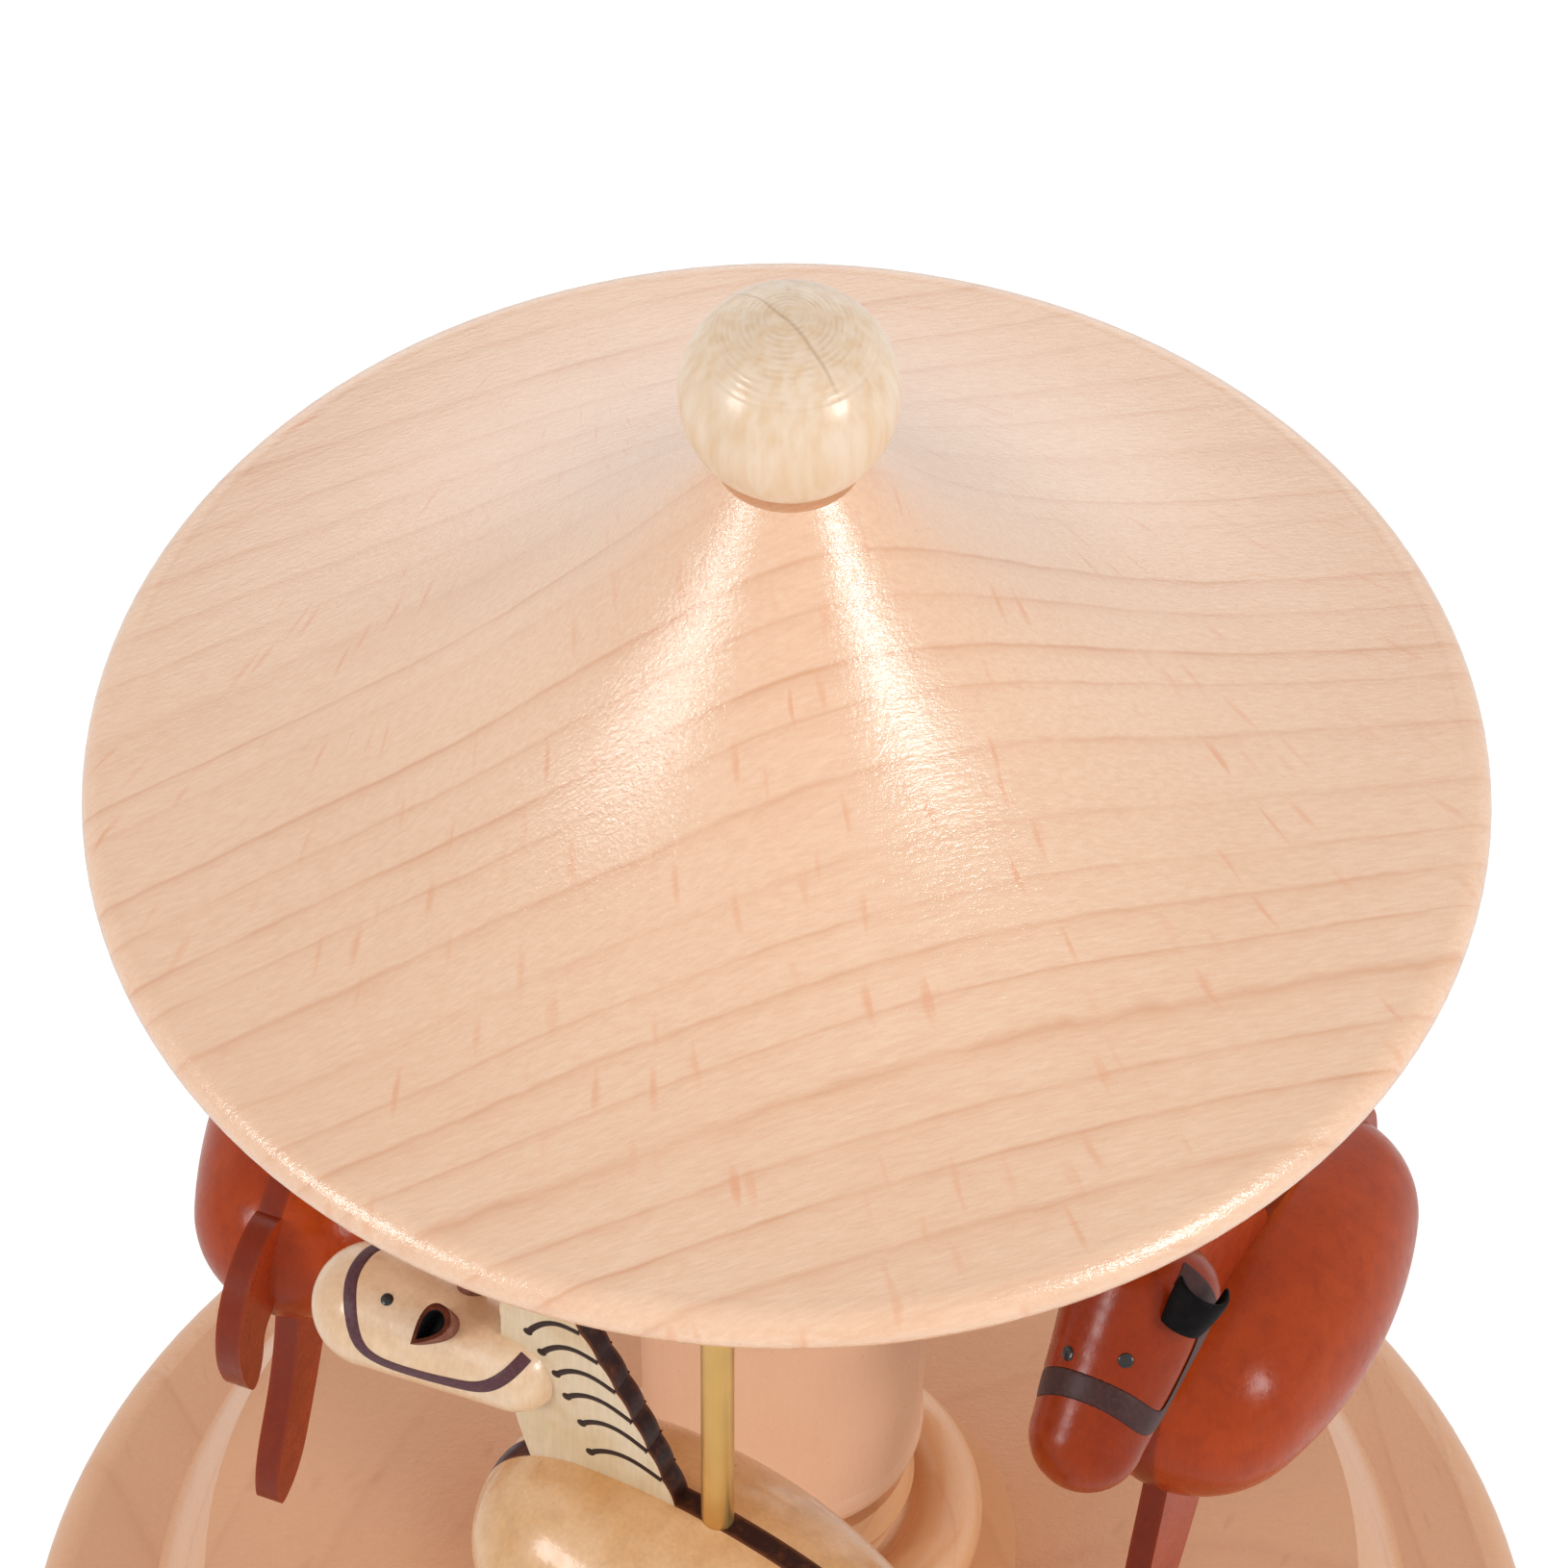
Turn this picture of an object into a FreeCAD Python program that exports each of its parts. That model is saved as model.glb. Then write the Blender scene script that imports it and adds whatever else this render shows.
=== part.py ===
import FreeCAD, Part
import math
import os

# Carousel music box in wood. A turned base holds a spring-driven music movement; the platform, the column,
# the roof and the four horses hanging from it turn together on the movement's upright arbor.
# Millimetres. +Z is up, the origin is on the axis at the underside of the feet, and the front is at -Y.

Vector = FreeCAD.Vector

# Fits between pieces
SEAT = 0.02          # radial clearance of a pin or plug glued or pressed into its bore
RUN = 0.05           # radial clearance of a shaft that turns in its bearing
GAP = 0.3            # clearance between a moving body and its neighbour

# Feet, bottom cover and base
FEET_COUNT = 4
FOOT_FIRST_DEG = 0.0
FOOT_R = 7.0
FOOT_H = 1.5
FOOT_PITCH_R = 40.0
COVER_T = 3.0
COVER_LEDGE = 8.0    # width of the rabbet that the cover sits in, outside the cavity
COVER_FIT = 0.3
COVER_SCREWS = 4
COVER_SCREW_FIRST_DEG = 45.0
COVER_SCREW_GRIP = 9.0
SOUND_HOLES = 8
SOUND_HOLE_FIRST_DEG = 22.5
SOUND_HOLE_R = 3.5
SOUND_HOLE_PITCH_R = 33.0
BASE_H = 33.0
BASE_WALL = 14.0
DECK_T = 6.0
BASE_TOP_ROUND = 3.0
BASE_FOOT_ROUND = 1.5
DECK_HOLE_R = 5.0

# Slip washer and turning platform
WASHER_R = 24.0
WASHER_HOLE_R = 12.0
WASHER_T = 0.9
WASHER_PROUD = 0.3
PLATFORM_R = 51.9
PLATFORM_TOP_R = 47.3
PLATFORM_T = 14.1
PLATFORM_RIM_H = 5.9
PLATFORM_BULGE = 0.35    # how far the rounded edge stands out from its chord, in X and in Z

# Column, and its turned base. A height in a profile counts from the plinth's top
COLUMN_ROUND = ((9.4, 0.0), (10.6, 1.2), (11.2, 4.7))    # radius and height at the column's rounded foot
COLUMN_BELLY_R = 11.5
COLUMN_TOP_R = 10.8
PLINTH_R = 19.1
PLINTH_T = 2.8
BEAD_NECK = 1.9          # the straight neck under the bead
BEAD_R = 3.3
BEAD_PITCH_R = 13.0
BEAD_RISE = 4.6
BEAD_ENDS_DEG = 125.0
COVE = ((10.0, 6.9), (9.7, 8.5))
RIDGE = ((10.35, 9.5), (10.7, 10.4), (10.3, 13.5))
GROOVE = ((9.2, 13.7), (9.2, 14.3))
DOWEL_R = 4.0
DOWEL_LENGTH = 16.0
FOOT_DOWEL_LENGTH = 40.0

# Roof and ball
ROOF_R = 52.5
ROOF_RIM_T = 4.4
ROOF_RIM_Z = 147.2
ROOF_RECESS = 2.0
ROOF_PEAK_R = 5.4
BRIM_SLOPE_DEG = 9.0
BRIM_HANDLE = 24.0
PEAK_SLOPE_DEG = 57.0
PEAK_HANDLE = 18.0
BALL_R = 8.0
BALL_RISE = 42.8
BALL_FLAT_R = 4.0
BALL_DOWEL_R = 2.0
BALL_DOWEL_LENGTH = 14.0

# Horses: where each one hangs, shared sizes, then what differs between the pale and the brown ones
HORSES = (
    {"colour": "pale", "bearing_deg": -97.2, "pole_from_axis": 38.5, "turn_in_deg": 21.4, "tail_reach": 1.0},
    {"colour": "brown", "bearing_deg": -6.5, "pole_from_axis": 39.2, "turn_in_deg": 22.0, "tail_reach": 0.55},
    {"colour": "pale", "bearing_deg": 82.8, "pole_from_axis": 38.5, "turn_in_deg": 21.4, "tail_reach": 1.0},
    {"colour": "brown", "bearing_deg": 173.1, "pole_from_axis": 36.2, "turn_in_deg": 15.0, "tail_reach": 1.0},
)
HORSE_BACK_DROP = 41.3
POLE_AHEAD = {"pale": 2.4, "brown": 0.0}
POLE_R = 1.25
POLE_IN_ROOF = 6.5
POLE_IN_HORSE = 12.0
HORSE_PLATE_T = 2.1
HORSE_BODY_AHEAD = 22.0
HORSE_BODY_BEHIND = 15.45
HORSE_BODY_DROP = 9.73
HORSE_CHEST_R = 10.0
HORSE_RUMP_R = 8.4
HORSE_SIDE_R = 42.7
HORSE_BODY_RISE_DEG = 5.7
HORSE_BODY_SHIFT = {"pale": -0.5, "brown": 0.9}
HORSE_REACH = 100.0      # farther than any point of a horse, for the saw cuts
MANE_SCALLOPS = 7
MANE_SCALLOP_DEPTH = 0.22
MANE_BOW = 0.6           # how far the mane's line stands proud of straight at its middle
EAR_R = 1.7
EAR_WALL = 0.55
EAR_LENGTH = 3.4
EAR_SUNK = 1.0
EAR_OPENING_AHEAD = 1.4
HEADS = {
    "pale": {"nose_r": 4.8, "cheek_r": 3.9, "length": 20.9, "corner_r": 3.4, "tilt_deg": 4.5,
             "place": (22.2, 9.3), "ear_back": 12.2, "ear_side_deg": 35.0},
    "brown": {"nose_r": 4.4, "cheek_r": 5.8, "length": 20.5, "corner_r": 4.0, "tilt_deg": 43.0,
              "place": (26.5, 13.0), "ear_back": 16.8, "ear_side_deg": 52.0},
}
HEAD_HOLD = 0.7          # the head's place is given at this share of its length behind the nose
NECK_FRONT = [(16.6, -4.5), (17.9, -0.6), (19.4, 5.0), (20.2, 10.8), (20.3, 15.5)]
NECK_POLL = (18.9, 19.6)
MANE_TOP = (15.2, 20.4)
MANE_FOOT = (5.5, 1.2)
MANE_ROOT = (3.4, -2.5)
TAIL = [(-9.0, -6.0), (-12.4, -3.7), (-16.2, -5.0), (-18.7, -8.4), (-19.3, -12.2), (-18.5, -16.0),
        (-16.9, -18.2), (-15.5, -16.6), (-14.7, -13.9), (-11.5, -12.0)]
FRONT_LEG = [(12.5, -14.0), (14.6, -22.0), (18.4, -28.8), (22.6, -35.4), (24.9, -37.2), (26.9, -35.6),
             (25.6, -29.4), (23.2, -22.0), (21.2, -15.5), (18.0, -10.0)]
HIND_LEG = [(-8.6, -12.0), (-8.6, -20.0), (-11.0, -28.0), (-13.9, -36.0), (-13.4, -37.9), (-11.9, -37.9),
            (-7.6, -33.3), (-4.6, -27.0), (-2.2, -20.0), (-2.0, -12.0)]

# Movement: frame, arbor and spring
FRAME_R = 47.0
FRAME_ROOM = 2.0         # between the frame's corners and the base's wall
FRAME_T = 2.8
FRAME_X = (-21.0, 42.0)
FRAME_Y = (-21.0, 26.0)
FRAME_SCREW_INSET = 3.5
FRAME_CORNER_INSET = 5.2     # the same for the corner that the frame's round cuts off
FRAME_SCREW_GRIP = 7.5
ARBOR_R = 2.0
HUB_FLANGE_R = 10.0
HUB_FLANGE_T = 2.0
HUB_SLEEVE_R = 3.9
HUB_SLEEVE_L = 6.0
BUSH_R = 3.6
BUSH_FLANGE_R = 5.0
BUSH_FLANGE_T = 1.0
GREAT_WHEEL_R = 13.7
GREAT_WHEEL_T = 1.2
GREAT_WHEEL_DROP = 1.8
BARREL_R = 10.0
BARREL_WALL = 0.8
BARREL_H = 11.0
BARREL_HOLE_R = 3.2
SPRING_POST_R = 2.2
SPRING_T = 0.3
SPRING_TURNS = 7
SPRING_EDGE = 1.0
BRIDGE_HALF = 17.5
BRIDGE_W = 8.0
BRIDGE_T = 2.0
BRIDGE_FOOT_L = 5.6

# Movement: train. Teeth, module and face width of each pair
GREAT_TEETH = 36
CYLINDER_PINION_TEETH = 12
GREAT_MODULE = 0.7
GREAT_FACE = 2.0
CYLINDER_WHEEL_TEETH = 36
SECOND_PINION_TEETH = 9
CYLINDER_WHEEL_MODULE = 0.4
SECOND_WHEEL_TEETH = 40
FLY_PINION_TEETH = 8
SECOND_WHEEL_MODULE = 0.35
WHEEL_T = 1.2
PINION_OVERHANG = 0.2    # how far a pinion reaches past its wheel's face, at each side
TOOTH_TIP = 0.85         # addendum in modules
TOOTH_ROOT = 1.15        # dedendum in modules
TOOTH_SHARE = 0.40       # share of the pitch that a tooth fills on the pitch circle
CROWN_PINION_SHARE = 0.36    # the same on the pinion that meshes with the crown wheel
TOOTH_FOOT_WIDTH = 1.45      # a tooth's width at its root, in widths on the pitch circle
TOOTH_TIP_WIDTH = 0.45       # the same at its tip
CROWN_DEPTH = 1.5
CROWN_FOOT_W = 0.91
CROWN_TIP_W = 0.49
TIP_GAP = 0.15
SECOND_BELOW_DEG = 30.0
PIVOT_R = 0.6
PIVOT_PROUD = 0.4        # how far an arbor reaches past the side plates
CYLINDER_ARBOR_R = 0.9
CYLINDER_R = 6.5
CYLINDER_END_PLAY = 0.6
CYLINDER_MARGIN = 0.3    # bare cylinder beyond the first and the last note
WHEEL_STAND_OFF = 0.4    # from the cylinder to its wheel
WHEEL_SPACE = 0.8        # from the cylinder's wheel to the second wheel
PLATE_SPACE = 0.7        # from a side plate to the wheel beside it
NOTES = 18
NOTE_PITCH = 1.0
PINS_PER_NOTE = 4
PIN_SIDE = 0.3
PIN_H = 0.3
TUNE_STRIDE = 7          # places round the cylinder from one note's first pin to the next note's
COMB_GAP = 0.5
COMB_TOOTH_L = 9.0
COMB_T = 1.0
COMB_TOOTH_T = 0.5
COMB_SLOT = 0.3
COMB_BASE_L = 9.0
PLATE_T = 1.6
PLATE_Y = (-20.0, 5.0)
PLATE_DROP = 17.0
FAN_R = 5.0
FAN_L = 14.0
FAN_T = 0.4
FAN_COLLAR_R = 1.3
FAN_SET_IN = 2.0         # from the inner side plate to the fan

# Screws: shank radius, head radius, head height, shank length
WOOD_SCREW = {"shank_r": 1.2, "head_r": 2.4, "head_h": 1.4, "length": 9.0}
COMB_SCREW = {"shank_r": 0.9, "head_r": 1.8, "head_h": 1.2, "length": 4.5}
HUB_SCREW = {"shank_r": 0.8, "head_r": 1.5, "head_h": 0.8, "length": 3.4}
SCREW_SUNK = 0.1         # a sunk head below the surface
SLOT_W = 0.25            # a screw's slot, in head radii
SLOT_DEPTH = 0.33        # the same, in head heights
HUB_SCREWS = 3
HUB_SCREW_FIRST_DEG = 90.0
HUB_SCREW_PITCH_R = 7.0

# Heights and radii worked out from the sizes above
COVER_TOP = FOOT_H + COVER_T
COVER_SCREW_SEAT = FOOT_H + WOOD_SCREW["head_h"] + SCREW_SUNK
BASE_TOP = FOOT_H + BASE_H
DECK_UNDERSIDE = BASE_TOP - DECK_T
CAVITY_R = FRAME_R + FRAME_ROOM
BASE_R = CAVITY_R + BASE_WALL
COVER_R = CAVITY_R + COVER_LEDGE
WASHER_TOP = BASE_TOP + WASHER_PROUD
WASHER_BOTTOM = WASHER_TOP - WASHER_T
PLATFORM_BOTTOM = WASHER_TOP + GAP
PLATFORM_TOP = PLATFORM_BOTTOM + PLATFORM_T
HUB_TOP = PLATFORM_BOTTOM + HUB_FLANGE_T
HUB_SCREW_SEAT = PLATFORM_BOTTOM + HUB_SCREW["head_h"]
PLINTH_TOP = PLATFORM_TOP + PLINTH_T
COLUMN_FOOT = PLINTH_TOP + GROOVE[-1][1]
ROOF_UNDERSIDE = ROOF_RIM_Z - ROOF_RIM_T / 2
COLUMN_TOP = ROOF_UNDERSIDE + ROOF_RECESS
BALL_Z = ROOF_RIM_Z + BALL_RISE
PEAK_Z = BALL_Z - math.sqrt(BALL_R ** 2 - BALL_FLAT_R ** 2)
FOOT_DOWEL = (HUB_TOP + GAP, HUB_TOP + GAP + FOOT_DOWEL_LENGTH)
TOP_DOWEL = (COLUMN_TOP - DOWEL_LENGTH / 2, COLUMN_TOP + DOWEL_LENGTH / 2)
BALL_DOWEL = (PEAK_Z - BALL_DOWEL_LENGTH / 2, PEAK_Z + BALL_DOWEL_LENGTH / 2)
HORSE_BACK_Z = ROOF_RIM_Z - HORSE_BACK_DROP
FRAME_UNDERSIDE = DECK_UNDERSIDE - FRAME_T
GREAT_WHEEL_TOP = FRAME_UNDERSIDE - GREAT_WHEEL_DROP
GREAT_WHEEL_BOTTOM = GREAT_WHEEL_TOP - GREAT_WHEEL_T
BARREL_BOTTOM = GREAT_WHEEL_BOTTOM - BARREL_H
GREAT_PITCH_R = GREAT_MODULE * GREAT_TEETH / 2
CYLINDER_PINION_R = GREAT_MODULE * CYLINDER_PINION_TEETH / 2
CYLINDER_Z = GREAT_WHEEL_BOTTOM - TIP_GAP - CYLINDER_PINION_R - TOOTH_TIP * GREAT_MODULE
BRIDGE_TOP = BARREL_BOTTOM - 2 * GAP

# Places along the cylinder's axis, and where the shafts and the comb lie beside it
CROWN_X = (GREAT_PITCH_R - GREAT_FACE / 2, GREAT_PITCH_R + GREAT_FACE / 2)
PINION_X = (CROWN_X[0] - PINION_OVERHANG, CROWN_X[1] + PINION_OVERHANG)
INNER_PLATE_X = (GREAT_WHEEL_R + PLATE_SPACE, GREAT_WHEEL_R + PLATE_SPACE + PLATE_T)
CYLINDER_START = INNER_PLATE_X[1] + CYLINDER_END_PLAY
COMB_X = (CYLINDER_START + CYLINDER_MARGIN, CYLINDER_START + CYLINDER_MARGIN + NOTES * NOTE_PITCH)
CYLINDER_X = (CYLINDER_START, COMB_X[1] + CYLINDER_MARGIN)
CYLINDER_WHEEL_X = (CYLINDER_X[1] + WHEEL_STAND_OFF, CYLINDER_X[1] + WHEEL_STAND_OFF + WHEEL_T)
SECOND_WHEEL_X = (CYLINDER_WHEEL_X[1] + WHEEL_SPACE, CYLINDER_WHEEL_X[1] + WHEEL_SPACE + WHEEL_T)
OUTER_PLATE_X = (SECOND_WHEEL_X[1] + PLATE_SPACE, SECOND_WHEEL_X[1] + PLATE_SPACE + PLATE_T)
ARBOR_END_X = OUTER_PLATE_X[1] + PIVOT_PROUD
MESH_DEG = 180.0 + SECOND_BELOW_DEG
SECOND_DISTANCE = CYLINDER_WHEEL_MODULE * (CYLINDER_WHEEL_TEETH + SECOND_PINION_TEETH) / 2
SECOND_Y = -SECOND_DISTANCE * math.cos(math.radians(SECOND_BELOW_DEG))
SECOND_Z = CYLINDER_Z - SECOND_DISTANCE * math.sin(math.radians(SECOND_BELOW_DEG))
FLY_Y = SECOND_Y - SECOND_WHEEL_MODULE * (SECOND_WHEEL_TEETH + FLY_PINION_TEETH) / 2
FLY_Z = SECOND_Z
COMB_Y = CYLINDER_R + COMB_GAP
COMB_BASE_Y = (COMB_Y + COMB_TOOTH_L, COMB_Y + COMB_TOOTH_L + COMB_BASE_L)
COMB_TOP = CYLINDER_Z + COMB_T / 2

parts = {}


def at(radius, degrees, z=0.0):
    angle = math.radians(degrees)
    return Vector(radius * math.cos(angle), radius * math.sin(angle), z)


def polar_places(radius, count, first_deg):
    found = []
    for i in range(count):
        place = at(radius, first_deg + 360.0 * i / count)
        found.append((place.x, place.y))
    return found


# Screw places
COVER_SCREW_PLACES = polar_places(CAVITY_R + COVER_LEDGE / 2, COVER_SCREWS, COVER_SCREW_FIRST_DEG)
HUB_SCREW_PLACES = polar_places(HUB_SCREW_PITCH_R, HUB_SCREWS, HUB_SCREW_FIRST_DEG)
FRAME_SCREW_PLACES = [
    (FRAME_X[0] + FRAME_SCREW_INSET, FRAME_Y[0] + FRAME_SCREW_INSET),
    (FRAME_X[0] + FRAME_SCREW_INSET, FRAME_Y[1] - FRAME_SCREW_INSET),
    (FRAME_X[1] - FRAME_SCREW_INSET, FRAME_Y[1] - FRAME_CORNER_INSET),
    (BRIDGE_W + FRAME_SCREW_INSET, FRAME_Y[0] + FRAME_SCREW_INSET),
]
BRIDGE_SCREW_PLACES = [(0.0, side * (BRIDGE_HALF + BRIDGE_FOOT_L / 2)) for side in (1, -1)]
COMB_SCREW_PLACES = [((COMB_X[0] + COMB_X[1]) / 2 + i * NOTES * NOTE_PITCH / 3, sum(COMB_BASE_Y) / 2)
                     for i in (-1, 0, 1)]


# Shapes that many pieces use
def post(radius, low, high, x=0.0, y=0.0):
    return Part.makeCylinder(radius, high - low, Vector(x, y, low))


def rod_x(radius, x, y, z):
    return Part.makeCylinder(radius, x[1] - x[0], Vector(x[0], y, z), Vector(1, 0, 0))


def block(x, y, z):
    return Part.makeBox(x[1] - x[0], y[1] - y[0], z[1] - z[0], Vector(x[0], y[0], z[0]))


def xz(x, z):
    return Vector(x, 0, z)


def line(start, end):
    return Part.LineSegment(start, end).toShape()


def arc(start, middle, end):
    return Part.Arc(start, middle, end).toShape()


def outline(start, *steps):
    """Edges of a closed outline in the XZ plane. A step is the next corner, or an arc's (middle, end)."""
    edges = []
    here = start
    for step in steps + (start,):
        if isinstance(step[0], tuple):
            middle, end = step
            edges.append(arc(xz(*here), xz(*middle), xz(*end)))
        else:
            end = step
            edges.append(line(xz(*here), xz(*end)))
        here = end
    return edges


def turned(edges):
    """The solid turned about Z by a closed outline in the XZ plane."""
    face = Part.Face(Part.Wire(edges))
    return face.revolve(Vector(0, 0, 0), Vector(0, 0, 1), 360)


def round_point(centre_x, centre_z, radius, degrees):
    angle = math.radians(degrees)
    return (centre_x + radius * math.cos(angle), centre_z + radius * math.sin(angle))


def raised(profile, height):
    return [(x, height + z) for x, z in profile]


def holes(radius, places, low, high):
    return Part.makeCompound([post(radius, low, high, x, y) for x, y in places])


def screws(sizes, places, seat_z):
    """Slotted screws driven upwards, with their heads against seat_z."""
    found = []
    slot_half = sizes["head_r"] * SLOT_W / 2
    head_bottom = seat_z - sizes["head_h"]
    for x, y in places:
        head = post(sizes["head_r"], head_bottom, seat_z, x, y)
        shank = post(sizes["shank_r"], seat_z, seat_z + sizes["length"], x, y)
        slot = block((x - sizes["head_r"], x + sizes["head_r"]), (y - slot_half, y + slot_half),
                     (head_bottom, head_bottom + sizes["head_h"] * SLOT_DEPTH))
        found.append(head.fuse(shank).removeSplitter().cut(slot))
    return Part.makeCompound(found)


# Base, cover and feet
def base_body():
    inner = COVER_R + COVER_FIT
    washer_seat = WASHER_R + GAP
    top_round = (BASE_R - BASE_TOP_ROUND, BASE_TOP - BASE_TOP_ROUND)
    foot_round = (BASE_R - BASE_FOOT_ROUND, FOOT_H + BASE_FOOT_ROUND)
    body = turned(outline(
        (inner, FOOT_H),
        (foot_round[0], FOOT_H),
        (round_point(*foot_round, BASE_FOOT_ROUND, -45), (BASE_R, foot_round[1])),
        (BASE_R, top_round[1]),
        (round_point(*top_round, BASE_TOP_ROUND, 45), (top_round[0], BASE_TOP)),
        (washer_seat, BASE_TOP),
        (washer_seat, WASHER_BOTTOM),
        (DECK_HOLE_R, WASHER_BOTTOM),
        (DECK_HOLE_R, DECK_UNDERSIDE),
        (CAVITY_R, DECK_UNDERSIDE),
        (CAVITY_R, COVER_TOP),
        (inner, COVER_TOP),
    ))
    pilot_r = WOOD_SCREW["shank_r"] + SEAT
    body = body.cut(holes(pilot_r, COVER_SCREW_PLACES, FOOT_H, COVER_TOP + COVER_SCREW_GRIP))
    return body.cut(holes(pilot_r, FRAME_SCREW_PLACES, FRAME_UNDERSIDE, FRAME_UNDERSIDE + FRAME_SCREW_GRIP))


def bottom_cover():
    sound_holes = polar_places(SOUND_HOLE_PITCH_R, SOUND_HOLES, SOUND_HOLE_FIRST_DEG)
    cover = post(COVER_R, FOOT_H, COVER_TOP)
    cover = cover.cut(holes(SOUND_HOLE_R, sound_holes, FOOT_H, COVER_TOP))
    cover = cover.cut(holes(WOOD_SCREW["shank_r"] + SEAT, COVER_SCREW_PLACES, FOOT_H, COVER_TOP))
    return cover.cut(holes(WOOD_SCREW["head_r"] + SEAT, COVER_SCREW_PLACES, FOOT_H, COVER_SCREW_SEAT))


def felt_feet():
    places = polar_places(FOOT_PITCH_R, FEET_COUNT, FOOT_FIRST_DEG)
    return Part.makeCompound([post(FOOT_R, 0.0, FOOT_H, x, y) for x, y in places])


def slip_washer():
    return post(WASHER_R, WASHER_BOTTOM, WASHER_TOP).cut(post(WASHER_HOLE_R, WASHER_BOTTOM, WASHER_TOP))


# Platform, column, roof and ball
def platform():
    rim_top = PLATFORM_BOTTOM + PLATFORM_RIM_H
    shoulder = ((PLATFORM_R + PLATFORM_TOP_R) / 2 + PLATFORM_BULGE, (PLATFORM_TOP + rim_top) / 2 + PLATFORM_BULGE)
    bore = DOWEL_R + SEAT
    recess = HUB_FLANGE_R + SEAT
    disc = turned(outline(
        (recess, PLATFORM_BOTTOM),
        (PLATFORM_R, PLATFORM_BOTTOM),
        (PLATFORM_R, rim_top),
        (shoulder, (PLATFORM_TOP_R, PLATFORM_TOP)),
        (bore, PLATFORM_TOP),
        (bore, HUB_TOP),
        (recess, HUB_TOP),
    ))
    return disc.cut(holes(HUB_SCREW["shank_r"] + SEAT, HUB_SCREW_PLACES, HUB_TOP,
                          HUB_SCREW_SEAT + HUB_SCREW["length"]))


def platform_hub():
    sleeve_bottom = PLATFORM_BOTTOM - HUB_SLEEVE_L
    flange = post(HUB_FLANGE_R, PLATFORM_BOTTOM, HUB_TOP)
    sleeve = post(HUB_SLEEVE_R, sleeve_bottom, PLATFORM_BOTTOM)
    hub = flange.fuse(sleeve).removeSplitter()
    hub = hub.cut(post(ARBOR_R + SEAT, sleeve_bottom, HUB_TOP))
    hub = hub.cut(holes(HUB_SCREW["head_r"] + SEAT, HUB_SCREW_PLACES, PLATFORM_BOTTOM, HUB_SCREW_SEAT))
    return hub.cut(holes(HUB_SCREW["shank_r"] + SEAT, HUB_SCREW_PLACES, HUB_SCREW_SEAT, HUB_TOP))


def column_base():
    """Plinth, neck, round bead, cove, ridge and a groove under the column, turned in one piece."""
    bead = (BEAD_PITCH_R, PLINTH_TOP + BEAD_RISE, BEAD_R)
    neck_r = BEAD_PITCH_R + math.sqrt(BEAD_R ** 2 - (BEAD_RISE - BEAD_NECK) ** 2)
    cove = raised(COVE, PLINTH_TOP)
    ridge = raised(RIDGE, PLINTH_TOP)
    bore = DOWEL_R + SEAT
    return turned(outline(
        (bore, PLATFORM_TOP),
        (PLINTH_R, PLATFORM_TOP),
        (PLINTH_R, PLINTH_TOP),
        (neck_r, PLINTH_TOP),
        (neck_r, PLINTH_TOP + BEAD_NECK),
        (round_point(*bead, 30), round_point(*bead, BEAD_ENDS_DEG)),
        (cove[0], cove[1]),
        (ridge[0], ridge[1]),
        ridge[2],
        *raised(GROOVE, PLINTH_TOP),
        (bore, COLUMN_FOOT),
    ))


def column():
    foot = raised(COLUMN_ROUND, COLUMN_FOOT)
    middle = (COLUMN_FOOT + ROOF_UNDERSIDE) / 2
    shaft = turned(outline(
        (0, COLUMN_FOOT),
        foot[0],
        (foot[1], foot[2]),
        ((COLUMN_BELLY_R, middle), (COLUMN_TOP_R, ROOF_UNDERSIDE)),
        (COLUMN_TOP_R, COLUMN_TOP),
        (0, COLUMN_TOP),
    ))
    bore = DOWEL_R + SEAT
    return shaft.cut(post(bore, COLUMN_FOOT, FOOT_DOWEL[1])).cut(post(bore, TOP_DOWEL[0], COLUMN_TOP))


def roof():
    half = ROOF_RIM_T / 2
    rim_x = ROOF_R - half
    brim = math.radians(BRIM_SLOPE_DEG)
    peak = math.radians(PEAK_SLOPE_DEG)
    start = xz(rim_x, ROOF_RIM_Z + half)
    end = xz(ROOF_PEAK_R, PEAK_Z)
    bell = Part.BezierCurve()
    bell.setPoles([
        start,
        start + xz(-BRIM_HANDLE, BRIM_HANDLE * math.tan(brim)),
        end + xz(PEAK_HANDLE * math.cos(peak), -PEAK_HANDLE * math.sin(peak)),
        end,
    ])
    shape = turned([
        line(xz(0, ROOF_UNDERSIDE), xz(rim_x, ROOF_UNDERSIDE)),
        arc(xz(rim_x, ROOF_UNDERSIDE), xz(ROOF_R, ROOF_RIM_Z), start),
        bell.toShape(),
        line(end, xz(0, PEAK_Z)),
        line(xz(0, PEAK_Z), xz(0, ROOF_UNDERSIDE)),
    ])
    shape = shape.cut(post(COLUMN_TOP_R + SEAT, ROOF_UNDERSIDE, COLUMN_TOP))
    shape = shape.cut(post(DOWEL_R + SEAT, COLUMN_TOP, TOP_DOWEL[1]))
    shape = shape.cut(post(BALL_DOWEL_R + SEAT, BALL_DOWEL[0], PEAK_Z))
    poles = [(pole_place(spec).x, pole_place(spec).y) for spec in HORSES]
    return shape.cut(holes(POLE_R + SEAT, poles, ROOF_UNDERSIDE, ROOF_UNDERSIDE + POLE_IN_ROOF))


def ball():
    whole = Part.makeSphere(BALL_R, Vector(0, 0, BALL_Z))
    flat = post(BALL_R, BALL_Z - 2 * BALL_R, PEAK_Z)
    return whole.cut(flat).cut(post(BALL_DOWEL_R + SEAT, PEAK_Z, BALL_DOWEL[1]))


# Horses. Each is made in its own frame, with X forward, Y to its left, and Z = 0 at its back
def pole_place(spec):
    return at(spec["pole_from_axis"], spec["bearing_deg"])


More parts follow.
